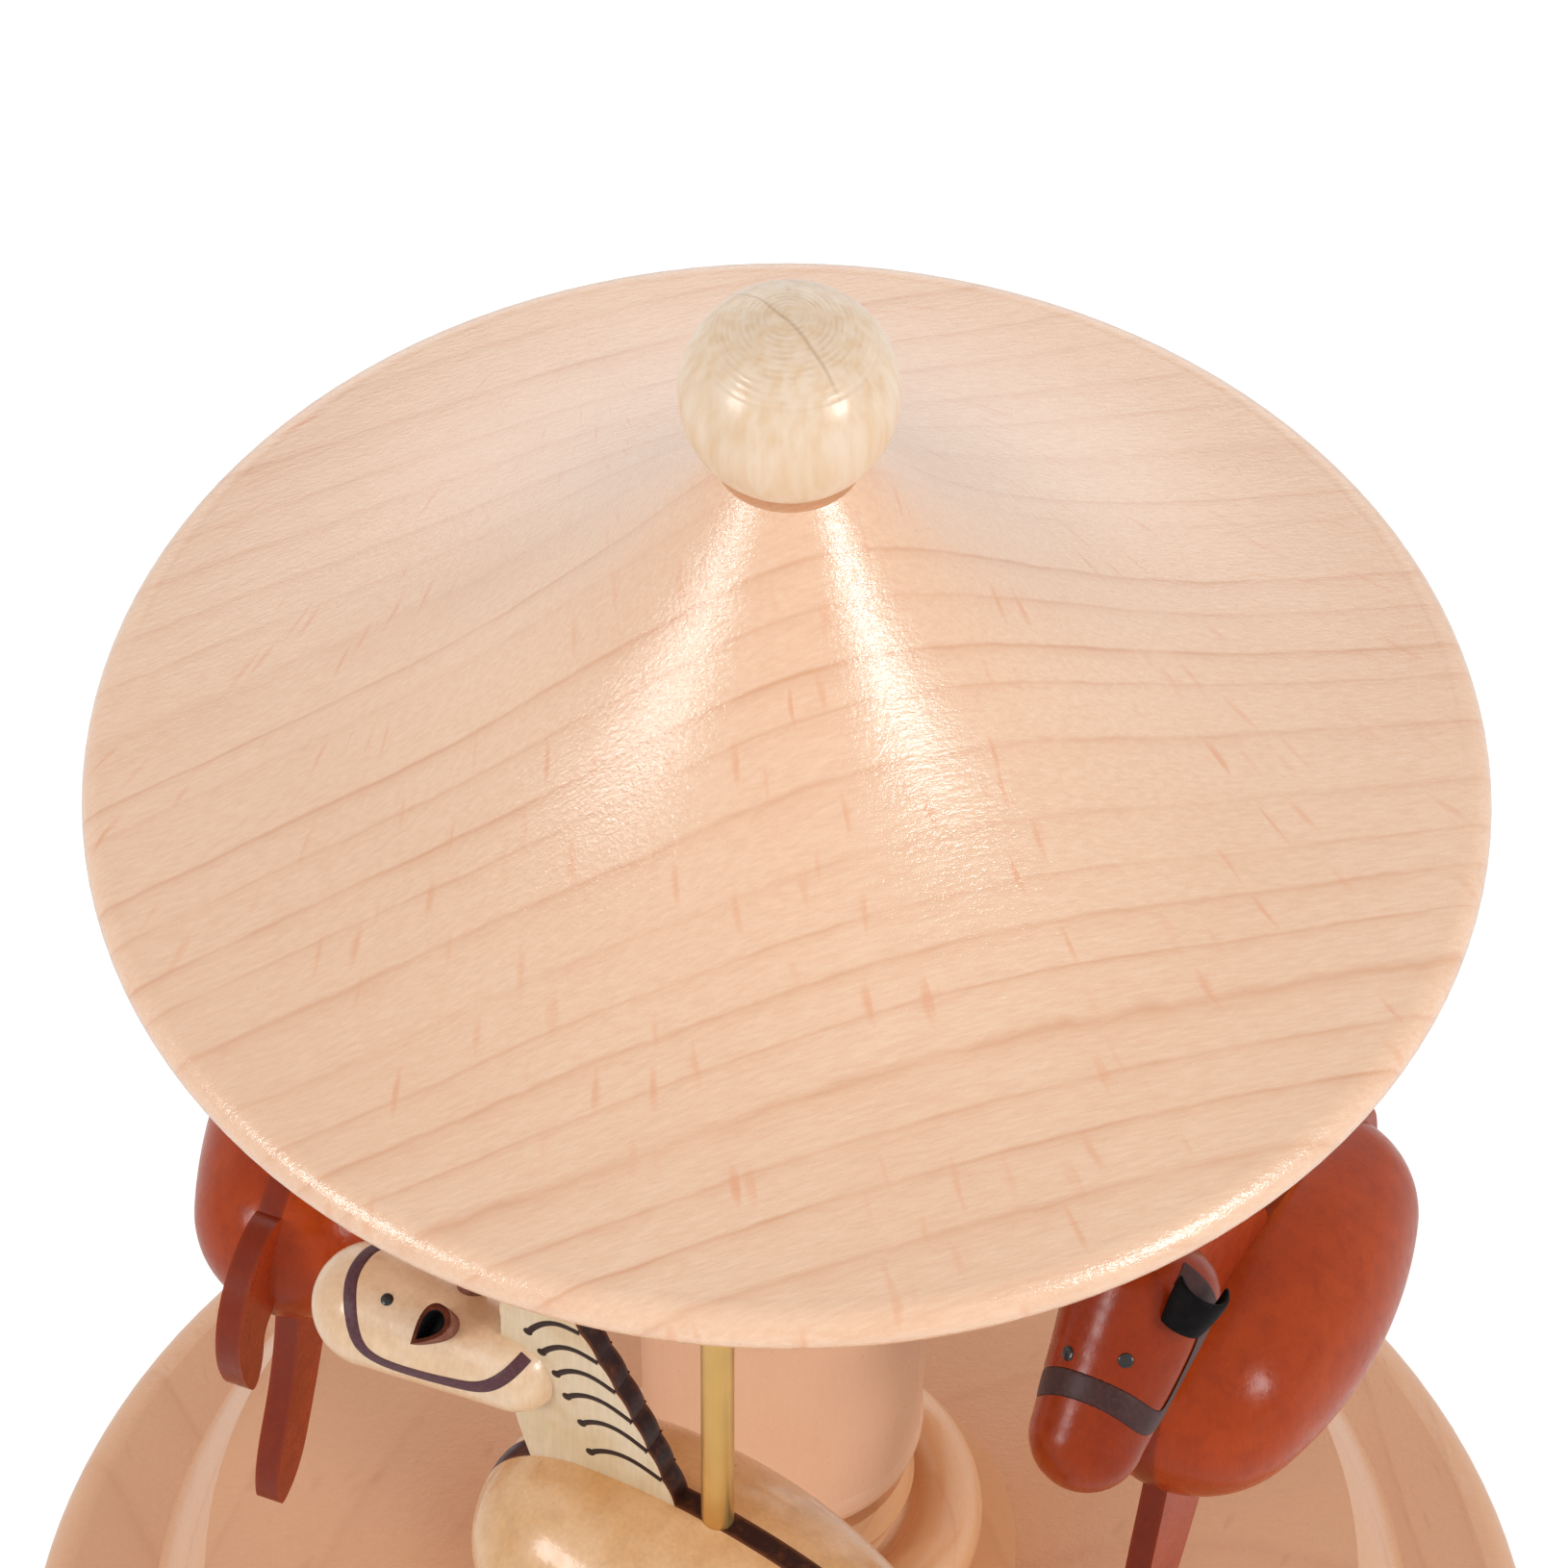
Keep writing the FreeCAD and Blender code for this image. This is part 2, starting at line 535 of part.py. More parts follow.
def heading_deg(spec):
    return spec["bearing_deg"] - 90.0 - spec["turn_in_deg"]


def horse_placement(spec):
    place = pole_place(spec) - at(POLE_AHEAD[spec["colour"]], heading_deg(spec))
    place.z = HORSE_BACK_Z
    return FreeCAD.Placement(place, FreeCAD.Rotation(Vector(0, 0, 1), heading_deg(spec)))


def horse_egg(shift):
    """The turned body before it is sawn in two: a full chest and a smaller rump, joined by one long arc.

    It hangs with its chest a little higher than its rump, and is shifted along the horse by the given length.
    """
    chest = HORSE_BODY_AHEAD - HORSE_CHEST_R
    rump = -HORSE_BODY_BEHIND + HORSE_RUMP_R
    to_chest = HORSE_SIDE_R - HORSE_CHEST_R
    to_rump = HORSE_SIDE_R - HORSE_RUMP_R
    side_x = (to_rump ** 2 - to_chest ** 2 - rump ** 2 + chest ** 2) / (2 * (chest - rump))
    side_z = math.sqrt(to_chest ** 2 - (chest - side_x) ** 2)

    def on_side(x):
        """The side arc's point straight out from its centre past (x, 0)."""
        reach = math.hypot(x - side_x, side_z)
        return side_x + (x - side_x) * HORSE_SIDE_R / reach, -side_z + side_z * HORSE_SIDE_R / reach

    edges = outline(
        (HORSE_BODY_AHEAD, 0),
        (round_point(chest, 0, HORSE_CHEST_R, 22.5), on_side(chest)),
        (on_side(side_x), on_side(rump)),
        (round_point(rump, 0, HORSE_RUMP_R, 157.5), (-HORSE_BODY_BEHIND, 0)),
    )
    egg = Part.Face(Part.Wire(edges)).revolve(Vector(0, 0, 0), Vector(1, 0, 0), 360)
    egg.translate(xz(0, -HORSE_BODY_DROP))
    egg.rotate(Vector(0, 0, 0), Vector(0, 1, 0), -HORSE_BODY_RISE_DEG)
    egg.translate(xz(shift, 0))
    return egg


def flat_piece(edges):
    face = Part.Face(Part.Wire(edges))
    face.translate(Vector(0, -HORSE_PLATE_T / 2, 0))
    return face.extrude(Vector(0, HORSE_PLATE_T, 0))


def smooth_piece(points):
    curve = Part.BSplineCurve()
    curve.interpolate([xz(*point) for point in points], PeriodicFlag=True)
    return flat_piece([curve.toShape()])


def neck_piece():
    front = Part.BSplineCurve()
    front.interpolate([xz(*point) for point in NECK_FRONT])
    top = xz(*MANE_TOP)
    foot = xz(*MANE_FOOT)
    outward = Vector(foot.z - top.z, 0, top.x - foot.x).normalize()
    notches = []
    for i in range(MANE_SCALLOPS + 1):
        share = i / MANE_SCALLOPS
        notches.append(top + (foot - top) * share + outward * (4 * MANE_BOW * share * (1 - share)))
    edges = [front.toShape(), arc(xz(*NECK_FRONT[-1]), xz(*NECK_POLL), top)]
    for start, end in zip(notches, notches[1:]):
        edges.append(arc(start, (start + end) / 2 + outward * MANE_SCALLOP_DEPTH, end))
    edges.append(line(foot, xz(*MANE_ROOT)))
    edges.append(line(xz(*MANE_ROOT), xz(*NECK_FRONT[0])))
    return flat_piece(edges)


def egg_slice(egg, left_of, right_of):
    """The part of the egg between two saw cuts square to Y."""
    return egg.common(block((-HORSE_REACH, HORSE_REACH), (left_of, right_of), (-HORSE_REACH, HORSE_REACH)))


def horse_plate(egg, tail_reach):
    """The flat silhouette between the two body halves: spine, neck with mane, tail and legs in one piece."""
    root = TAIL[0][0]
    tail = [(root + (x - root) * tail_reach, z) for x, z in TAIL]
    core = egg_slice(egg, -HORSE_PLATE_T / 2, HORSE_PLATE_T / 2)
    return core.multiFuse([neck_piece(), smooth_piece(tail), smooth_piece(FRONT_LEG),
                           smooth_piece(HIND_LEG)]).removeSplitter()


def head_frame(head):
    """The head's nose and its axes: from nose to neck, to the left and up from the face."""
    tilt = math.radians(head["tilt_deg"])
    back = xz(-math.cos(tilt), math.sin(tilt))
    up = xz(math.sin(tilt), math.cos(tilt))
    nose = xz(*head["place"]) - back * (head["length"] * HEAD_HOLD)
    return nose, back, Vector(0, 1, 0), up


def horse_head(head):
    """A turned peg with a round nose, widening towards its rounded back corner."""
    r, cheek, corner, length = head["nose_r"], head["cheek_r"], head["corner_r"], head["length"]
    edges = outline(
        (0, 0),
        (round_point(r, 0, r, 135), (r, r)),
        (length - corner, cheek),
        (round_point(length - corner, cheek - corner, corner, 45), (length, cheek - corner)),
        (length, 0),
    )
    peg = Part.Face(Part.Wire(edges)).revolve(Vector(0, 0, 0), Vector(1, 0, 0), 360)
    nose, back, _, _ = head_frame(head)
    peg.Placement = FreeCAD.Placement(nose, FreeCAD.Rotation(Vector(1, 0, 0), back))
    return peg


def horse_ears(head, head_solid):
    """Two small leather cups, glued on where the head is widest and open towards the nose."""
    nose, back, left, up = head_frame(head)
    share = head["ear_back"] / head["length"]
    radius = head["nose_r"] + (head["cheek_r"] - head["nose_r"]) * share
    length = EAR_LENGTH + EAR_SUNK
    angle = math.radians(head["ear_side_deg"])
    ears = []
    for side in (1, -1):
        outward = up * math.cos(angle) + left * (side * math.sin(angle))
        root = nose + back * head["ear_back"] + outward * (radius - EAR_SUNK)
        cup = Part.makeCylinder(EAR_R, length, root, outward)
        bore = Part.makeCylinder(EAR_R - EAR_WALL, length, root, outward)
        opening = Part.makeCylinder(EAR_R, length, root - back * EAR_OPENING_AHEAD, outward)
        ears.append(cup.cut(bore).cut(opening).cut(head_solid))
    return Part.makeCompound(ears)


def horse(number, spec):
    head = HEADS[spec["colour"]]
    pole_x = POLE_AHEAD[spec["colour"]]
    half = HORSE_PLATE_T / 2
    egg = horse_egg(HORSE_BODY_SHIFT[spec["colour"]])
    plate = horse_plate(egg, spec["tail_reach"])
    bore = post(POLE_R + SEAT, -POLE_IN_HORSE, HORSE_BODY_DROP, pole_x)
    whole_head = horse_head(head)
    pieces = {
        "pole": post(POLE_R, -POLE_IN_HORSE, ROOF_UNDERSIDE - HORSE_BACK_Z + POLE_IN_ROOF, pole_x),
        "plate": plate.cut(bore),
        "body_left": egg_slice(egg, half, HORSE_REACH).cut(bore),
        "body_right": egg_slice(egg, -HORSE_REACH, -half).cut(bore),
        "head": whole_head.cut(plate),
        "ears": horse_ears(head, whole_head),
    }
    for name, shape in pieces.items():
        shape.Placement = horse_placement(spec).multiply(shape.Placement)
        parts["horse_%d_%s" % (number, name)] = shape


# Movement: the spring's side
def great_wheel():
    """The crown wheel on the arbor, with its teeth on the underside and one gap centred over the pinion."""
    wheel = post(GREAT_WHEEL_R, GREAT_WHEEL_BOTTOM, GREAT_WHEEL_TOP)
    wheel = wheel.cut(post(ARBOR_R + SEAT, GREAT_WHEEL_BOTTOM, GREAT_WHEEL_TOP))
    inner, outer = CROWN_X
    low = GREAT_WHEEL_BOTTOM - CROWN_DEPTH
    foot = CROWN_FOOT_W / 2
    tip = CROWN_TIP_W / 2
    corners = [Vector(inner, -foot, GREAT_WHEEL_BOTTOM), Vector(inner, foot, GREAT_WHEEL_BOTTOM),
               Vector(inner, tip, low), Vector(inner, -tip, low)]
    teeth = []
    for i in range(GREAT_TEETH):
        tooth = Part.Face(Part.makePolygon(corners + corners[:1])).extrude(Vector(outer - inner, 0, 0))
        tooth.rotate(Vector(0, 0, 0), Vector(0, 0, 1), 360.0 * (i + 0.5) / GREAT_TEETH)
        teeth.append(tooth)
    return wheel.multiFuse(teeth).removeSplitter()


def spring_barrel():
    shell = post(BARREL_R, BARREL_BOTTOM, GREAT_WHEEL_BOTTOM)
    shell = shell.cut(post(BARREL_R - BARREL_WALL, BARREL_BOTTOM + BARREL_WALL, GREAT_WHEEL_BOTTOM))
    return shell.cut(post(BARREL_HOLE_R, BARREL_BOTTOM, BARREL_BOTTOM + BARREL_WALL))


def mainspring():
    """A flat spiral of half turns, from the post out to the barrel's wall."""
    first = SPRING_POST_R + GAP
    last = BARREL_R - BARREL_WALL - GAP - SPRING_T
    step = (last - first) / (2 * SPRING_TURNS)
    low = BARREL_BOTTOM + BARREL_WALL + SPRING_EDGE / 2
    high = GREAT_WHEEL_BOTTOM - SPRING_EDGE

    def half_turns(offset):
        edges = []
        x = first + offset
        for i in range(2 * SPRING_TURNS):
            span = 2 * (first + offset) + step * (2 * i + 1)
            side = 1 if i % 2 == 0 else -1
            end = x - side * span
            edges.append(arc(Vector(x, 0, low), Vector((x + end) / 2, side * span / 2, low), Vector(end, 0, low)))
            x = end
        return edges, x

    inner, inner_end = half_turns(0.0)
    outer, outer_end = half_turns(SPRING_T)
    ends = [line(xz(first, low), xz(first + SPRING_T, low)), line(xz(inner_end, low), xz(outer_end, low))]
    wire = Part.Wire(Part.sortEdges(inner + outer + ends)[0])
    return Part.Face(wire).extrude(Vector(0, 0, high - low))


def spring_bridge():
    """The strap under the barrel that holds the spring's post, bent up to two feet on the frame."""
    across = (-BRIDGE_W / 2, BRIDGE_W / 2)
    low = BRIDGE_TOP - BRIDGE_T
    inner = BRIDGE_HALF - BRIDGE_T
    foot_z = (FRAME_UNDERSIDE - BRIDGE_T, FRAME_UNDERSIDE)
    bridge = block(across, (-BRIDGE_HALF, BRIDGE_HALF), (low, BRIDGE_TOP))
    bridge = bridge.fuse(post(SPRING_POST_R, BRIDGE_TOP, GREAT_WHEEL_BOTTOM - 2 * GAP))
    for side in (1, -1):
        leg_y = sorted((side * inner, side * BRIDGE_HALF))
        foot_y = sorted((side * inner, side * (BRIDGE_HALF + BRIDGE_FOOT_L)))
        bridge = bridge.fuse(block(across, leg_y, (low, FRAME_UNDERSIDE)))
        bridge = bridge.fuse(block(across, foot_y, foot_z))
    return bridge.removeSplitter().cut(holes(COMB_SCREW["shank_r"] + SEAT, BRIDGE_SCREW_PLACES, *foot_z))


def arbor_bush():
    flange_bottom = FRAME_UNDERSIDE - BUSH_FLANGE_T
    body = post(BUSH_R, FRAME_UNDERSIDE, DECK_UNDERSIDE)
    flange = post(BUSH_FLANGE_R, flange_bottom, FRAME_UNDERSIDE)
    return body.fuse(flange).removeSplitter().cut(post(ARBOR_R + RUN, flange_bottom, DECK_UNDERSIDE))


def movement_frame():
    """The cast plate under the deck, with the comb's seat and two side plates for the train's bearings."""
    plate = block(FRAME_X, FRAME_Y, (FRAME_UNDERSIDE, DECK_UNDERSIDE))
    plate = plate.common(post(FRAME_R, FRAME_UNDERSIDE, DECK_UNDERSIDE))
    frame = plate.fuse(block(COMB_X, COMB_BASE_Y, (COMB_TOP, FRAME_UNDERSIDE)))
    for x in (INNER_PLATE_X, OUTER_PLATE_X):
        frame = frame.fuse(block(x, PLATE_Y, (FRAME_UNDERSIDE - PLATE_DROP, FRAME_UNDERSIDE)))
    frame = frame.removeSplitter()
    frame = frame.cut(post(BUSH_R + SEAT, FRAME_UNDERSIDE, DECK_UNDERSIDE))
    frame = frame.cut(holes(WOOD_SCREW["shank_r"] + SEAT, FRAME_SCREW_PLACES, FRAME_UNDERSIDE, DECK_UNDERSIDE))
    frame = frame.cut(holes(COMB_SCREW["shank_r"] + SEAT, COMB_SCREW_PLACES, COMB_TOP,
                            COMB_TOP - COMB_T + COMB_SCREW["length"]))
    frame = frame.cut(holes(COMB_SCREW["shank_r"] + SEAT, BRIDGE_SCREW_PLACES, FRAME_UNDERSIDE,
                            FRAME_UNDERSIDE - BRIDGE_T + COMB_SCREW["length"]))
    for radius, y, z in ((CYLINDER_ARBOR_R, 0.0, CYLINDER_Z), (PIVOT_R, SECOND_Y, SECOND_Z),
                         (PIVOT_R, FLY_Y, FLY_Z)):
        for x in (INNER_PLATE_X, OUTER_PLATE_X):
            frame = frame.cut(rod_x(radius + RUN, x, y, z))
    return frame


# Movement: comb and cylinder
def comb():
    whole = block(COMB_X, COMB_BASE_Y, (COMB_TOP - COMB_T, COMB_TOP))
    half = COMB_TOOTH_T / 2
    teeth = []
    for i in range(NOTES):
        low_x = COMB_X[0] + i * NOTE_PITCH + COMB_SLOT / 2
        high_x = low_x + NOTE_PITCH - COMB_SLOT
        teeth.append(block((low_x, high_x), (COMB_Y, COMB_BASE_Y[0]), (CYLINDER_Z - half, CYLINDER_Z + half)))
    whole = whole.multiFuse(teeth).removeSplitter()
    return whole.cut(holes(COMB_SCREW["shank_r"] + SEAT, COMB_SCREW_PLACES, COMB_TOP - COMB_T, COMB_TOP))


def tune_cylinder():
    half = PIN_SIDE / 2
    pins = []
    for note in range(NOTES):
        x = COMB_X[0] + (note + 0.5) * NOTE_PITCH
        for i in range(PINS_PER_NOTE):
            pin = block((x - half, x + half), (CYLINDER_R - PIN_SIDE, CYLINDER_R + PIN_H), (-half, half))
            turn = 360.0 * (i * NOTES + note * TUNE_STRIDE % NOTES) / (PINS_PER_NOTE * NOTES)
            pin.rotate(Vector(0, 0, 0), Vector(1, 0, 0), turn)
            pin.translate(Vector(0, 0, CYLINDER_Z))
            pins.append(pin)
    body = rod_x(CYLINDER_R, CYLINDER_X, 0, CYLINDER_Z).multiFuse(pins).removeSplitter()
    return body.cut(rod_x(CYLINDER_ARBOR_R + SEAT, CYLINDER_X, 0, CYLINDER_Z))


# Movement: gears and the air brake
def tooth_outline(teeth, module, share):
    """A spur gear's outline about the X axis, as points in the YZ plane, with a tooth centred on +Y."""
    pitch_r = module * teeth / 2
    tip_r = pitch_r + TOOTH_TIP * module
    root_r = pitch_r - TOOTH_ROOT * module
    half = math.pi * share / teeth
    steps = [(root_r, -half * TOOTH_FOOT_WIDTH), (pitch_r, -half), (tip_r, -half * TOOTH_TIP_WIDTH),
             (tip_r, half * TOOTH_TIP_WIDTH), (pitch_r, half), (root_r, half * TOOTH_FOOT_WIDTH)]
    points = []
    for i in range(teeth):
        middle = 2 * math.pi * i / teeth
        for radius, offset in steps:
            points.append((radius * math.cos(middle + offset), radius * math.sin(middle + offset)))
    return points


def spur(teeth, module, x, y, z, turn_deg, bore_r=None, share=TOOTH_SHARE):
    """A spur gear on an axis along X, turned so that a tooth stands at turn_deg from +Y towards +Z."""
    corners = [Vector(x[0], a, b) for a, b in tooth_outline(teeth, module, share)]
    gear = Part.Face(Part.makePolygon(corners + corners[:1])).extrude(Vector(x[1] - x[0], 0, 0))
    if bore_r:
        gear = gear.cut(rod_x(bore_r, x, 0, 0))
    gear.rotate(Vector(0, 0, 0), Vector(1, 0, 0), turn_deg)
    gear.translate(Vector(0, y, z))
    return gear


def pinion_arbor(teeth, module, wheel_x, y, z, turn_deg):
    """A thin arbor in the two side plates, in one piece with the pinion that a wheel drives."""
    pinion_x = (wheel_x[0] - PINION_OVERHANG, wheel_x[1] + PINION_OVERHANG)
    rod = rod_x(PIVOT_R, (INNER_PLATE_X[0] - PIVOT_PROUD, ARBOR_END_X), y, z)
    return rod.fuse(spur(teeth, module, pinion_x, y, z, turn_deg)).removeSplitter()


def fly_fan():
    """Two thin blades and a collar on the fly's arbor: the air brake that holds the speed."""
    x = (INNER_PLATE_X[1] + FAN_SET_IN, INNER_PLATE_X[1] + FAN_SET_IN + FAN_L)
    collar = rod_x(FAN_COLLAR_R, x, FLY_Y, FLY_Z)
    blade = block(x, (FLY_Y - FAN_R, FLY_Y + FAN_R), (FLY_Z - FAN_T / 2, FLY_Z + FAN_T / 2))
    return collar.fuse(blade).removeSplitter().cut(rod_x(PIVOT_R + SEAT, x, FLY_Y, FLY_Z))


def make_base():
    cover_screw = dict(WOOD_SCREW, length=COVER_TOP + COVER_SCREW_GRIP - COVER_SCREW_SEAT)
    parts["base_body"] = base_body()
    parts["bottom_cover"] = bottom_cover()
    parts["cover_screws"] = screws(cover_screw, COVER_SCREW_PLACES, COVER_SCREW_SEAT)
    parts["felt_feet"] = felt_feet()
    parts["slip_washer"] = slip_washer()


def make_carousel():
    parts["turning_platform"] = platform()
    parts["platform_hub"] = platform_hub()
    parts["hub_screws"] = screws(HUB_SCREW, HUB_SCREW_PLACES, HUB_SCREW_SEAT)
    parts["column_base"] = column_base()
    parts["column"] = column()
    parts["column_foot_dowel"] = post(DOWEL_R, *FOOT_DOWEL)
    parts["column_top_dowel"] = post(DOWEL_R, *TOP_DOWEL)
    parts["roof"] = roof()
    parts["ball_dowel"] = post(BALL_DOWEL_R, *BALL_DOWEL)
    parts["roof_ball"] = ball()
    for number, spec in enumerate(HORSES, 1):
        horse(number, spec)


def make_movement():
    frame_screw = dict(WOOD_SCREW, length=FRAME_SCREW_GRIP)
    parts["movement_frame"] = movement_frame()
    parts["frame_screws"] = screws(frame_screw, FRAME_SCREW_PLACES, FRAME_UNDERSIDE)
    parts["arbor_bush"] = arbor_bush()
    parts["spring_bridge"] = spring_bridge()
    parts["bridge_screws"] = screws(COMB_SCREW, BRIDGE_SCREW_PLACES, FRAME_UNDERSIDE - BRIDGE_T)
    parts["mainspring"] = mainspring()
    parts["drive_arbor"] = post(ARBOR_R, GREAT_WHEEL_BOTTOM, HUB_TOP)
    parts["great_wheel"] = great_wheel()
    parts["spring_barrel"] = spring_barrel()
    parts["comb"] = comb()
    parts["comb_screws"] = screws(COMB_SCREW, COMB_SCREW_PLACES, COMB_TOP - COMB_T)
    parts["tune_cylinder"] = tune_cylinder()
    parts["cylinder_arbor"] = rod_x(CYLINDER_ARBOR_R, (PINION_X[0], ARBOR_END_X), 0, CYLINDER_Z)
    parts["cylinder_pinion"] = spur(CYLINDER_PINION_TEETH, GREAT_MODULE, PINION_X, 0, CYLINDER_Z, 90.0,
                                    CYLINDER_ARBOR_R + SEAT, CROWN_PINION_SHARE)
    parts["cylinder_wheel"] = spur(CYLINDER_WHEEL_TEETH, CYLINDER_WHEEL_MODULE, CYLINDER_WHEEL_X, 0, CYLINDER_Z,
                                   MESH_DEG, CYLINDER_ARBOR_R + SEAT)
    parts["second_arbor"] = pinion_arbor(SECOND_PINION_TEETH, CYLINDER_WHEEL_MODULE, CYLINDER_WHEEL_X,
                                         SECOND_Y, SECOND_Z, MESH_DEG - 180.0 + 180.0 / SECOND_PINION_TEETH)
    parts["second_wheel"] = spur(SECOND_WHEEL_TEETH, SECOND_WHEEL_MODULE, SECOND_WHEEL_X, SECOND_Y, SECOND_Z,
                                 180.0, PIVOT_R + SEAT)
    parts["fly_arbor"] = pinion_arbor(FLY_PINION_TEETH, SECOND_WHEEL_MODULE, SECOND_WHEEL_X,
                                      FLY_Y, FLY_Z, 180.0 / FLY_PINION_TEETH)
    parts["fly_fan"] = fly_fan()


def main():
    make_base()
    make_carousel()
    make_movement()
    os.makedirs("parts", exist_ok=True)
    for name, shape in sorted(parts.items()):
        shape.exportStep("parts/%s.step" % name)
        print("%-22s %2d solid(s) %10.1f mm3 %s" % (name, len(shape.Solids), shape.Volume,
                                                    "" if shape.isValid() else "NOT VALID"))


if __name__ == "__main__":
    main()
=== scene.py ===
"""Looks, small pieces and stage of the wooden carousel music box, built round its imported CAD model."""

import math

import bmesh
import bpy
from mathutils import Matrix, Vector


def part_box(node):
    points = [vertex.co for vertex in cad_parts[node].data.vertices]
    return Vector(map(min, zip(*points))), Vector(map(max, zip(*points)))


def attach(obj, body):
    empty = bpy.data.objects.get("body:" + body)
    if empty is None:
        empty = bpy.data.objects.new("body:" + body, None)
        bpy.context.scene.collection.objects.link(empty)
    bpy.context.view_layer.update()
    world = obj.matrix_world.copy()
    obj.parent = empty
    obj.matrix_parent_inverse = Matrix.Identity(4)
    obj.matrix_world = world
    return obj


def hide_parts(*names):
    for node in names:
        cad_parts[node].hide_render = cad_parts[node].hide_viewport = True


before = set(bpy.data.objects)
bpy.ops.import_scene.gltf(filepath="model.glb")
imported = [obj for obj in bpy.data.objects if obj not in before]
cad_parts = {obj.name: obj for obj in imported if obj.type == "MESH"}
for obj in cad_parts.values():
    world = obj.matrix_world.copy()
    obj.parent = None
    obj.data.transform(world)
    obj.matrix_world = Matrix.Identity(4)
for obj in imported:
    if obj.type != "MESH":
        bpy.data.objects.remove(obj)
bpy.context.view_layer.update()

bl_info = {
    "name": "Wooden Carousel Music Box",
    "version": (1, 0, 0),
    "blender": (4, 5, 0),
    "location": "3D View > Sidebar > Carousel",
    "description": "Dresses the carousel's wood, horses and movement, and lights it in a small studio",
    "category": "Object",
}

MM = 0.001

# How each horse stands on its pole, in millimetres, as in the part's source.
HORSE_COUNT = 4
TURN_IN_DEG = {1: 21.4, 2: 22.0, 3: 21.4, 4: 15.0}
HORSE_BACK_Z = 105.9
PLATE_HALF = 1.05
PALE_HORSES = (1, 3)
POLE_AHEAD = {"pale": 2.4, "brown": 0.0}

# The turned heads: radius at the nose and cheek, length, rounding, tilt and place of the neck joint.
HEADS = {
    "pale": {"nose_r": 4.8, "cheek_r": 3.9, "length": 20.9, "corner": 3.4, "tilt": 4.5,
             "place": (22.2, 9.3)},
    "brown": {"nose_r": 4.4, "cheek_r": 5.8, "length": 20.5, "corner": 4.0, "tilt": 43.0,
              "place": (26.5, 13.0)},
}
HEAD_FRONT_SHARE = 0.7

# The leather ears: where one stands on its head (millimetres back, degrees aside), its widths and its reach.
EARS = {
    "pale": {"back": 12.2, "aside": 35.0, "length": 4.0, "width": 2.7, "reach": 2.1, "wall": 0.42},
    "brown": {"back": 16.0, "aside": 52.0, "width": 2.3, "reach": 3.7, "span": 170.0, "horn": 0.2,
              "pinch": 0.1, "wall": 0.45},
}

# The turned woods: colours of wood, growth lines and flecks, and how the grain lies, in millimetres.
TURNED_WOODS = {
    "roof": {"wood": "#F2CAA8", "line": "#D89C72", "fleck": "#E59E70", "turn_deg": (0, 0, -19.4),
             "curve_r": 400.0, "lean": 0.44, "ray_centre": (1.0, 51.0), "fleck_size": (0.9, 8.0),
             "line_share": 0.95, "fleck_share": 0.85, "relief": 0.06, "tone_span": 0.36, "coat_ior": 1.65},
    "turning_platform": {"wood": "#D9A277", "line": "#C08055", "fleck": "#B4704A", "turn_deg": (82, 0, -13),
                         "ring_gap": 6.0, "curve_r": 90.0, "lean": 0.2, "shift": (0, 14.0, 0),
                         "fleck_size": (4.5, 0.5), "line_share": 0.6, "fleck_share": 0.3, "tone_span": 0.12},
    "base_body": {"wood": "#DBA67C", "line": "#C28358", "fleck": "#B87650", "turn_deg": (80, 0, 39),
                  "ring_gap": 7.0, "curve_r": 110.0, "lean": 0.25, "shift": (30.0, -9.0, 0),
                  "fleck_size": (4.5, 0.5), "line_share": 0.6, "fleck_share": 0.3, "tone_span": 0.12},
    "column": {"wood": "#EABC9A", "line": "#CF9670", "fleck": "#C58C66", "turn_deg": (0, 90, 0),
               "ring_gap": 5.0, "curve_r": 4000.0, "lean": 0.1, "fleck_size": (3.0, 0.4), "line_share": 0.35,
               "fleck_share": 0.12, "relief": 0.006, "tone_span": 0.1},
    "column_base": {"wood": "#DFA878", "line": "#C48656", "fleck": "#B87850", "turn_deg": (85, 0, 17.188734),
                    "ring_gap": 5.0, "curve_r": 70.0, "lean": 0.2, "fleck_size": (3.0, 0.4),
                    "line_share": 0.5, "fleck_share": 0.2, "relief": 0.01, "tone_span": 0.12},
}

# The horses' stains: material, three tones, two tones of the narrow faces (dark, and a lighter one that is
# partly painted edge highlight), roughness, clear coat and IOR.
STAINS = {
    "pale": {
        "plate": ("scorched_birch_plate", ("#D8C3A6", "#CFB48F", "#C6A57C"), ("#2A100B", "#7A4324"),
                  0.42, 0.05, 1.35),
        "body": ("honey_birch_body", ("#DDB284", "#D09E66", "#BF8D5A"), None, 0.33, 0.35, 1.5),
        "head": ("cream_birch_head", ("#E2C6A6", "#DAB690", "#D0A67E"), None, 0.33, 0.35, 1.5),
    },
    "brown": {
        "plate": ("chestnut_plate", ("#9E3A16", "#943212", "#82280E"), ("#7A2A14", "#8A3212"),
                  0.3, 0.0, 1.28),
        "body": ("chestnut_body", ("#A63E0E", "#9C360A", "#882C08"), None, 0.24, 0.0, 1.28),
        "head": ("chestnut_head", ("#92340A", "#882C08", "#782406"), None, 0.26, 0.0, 1.28),
    },
}

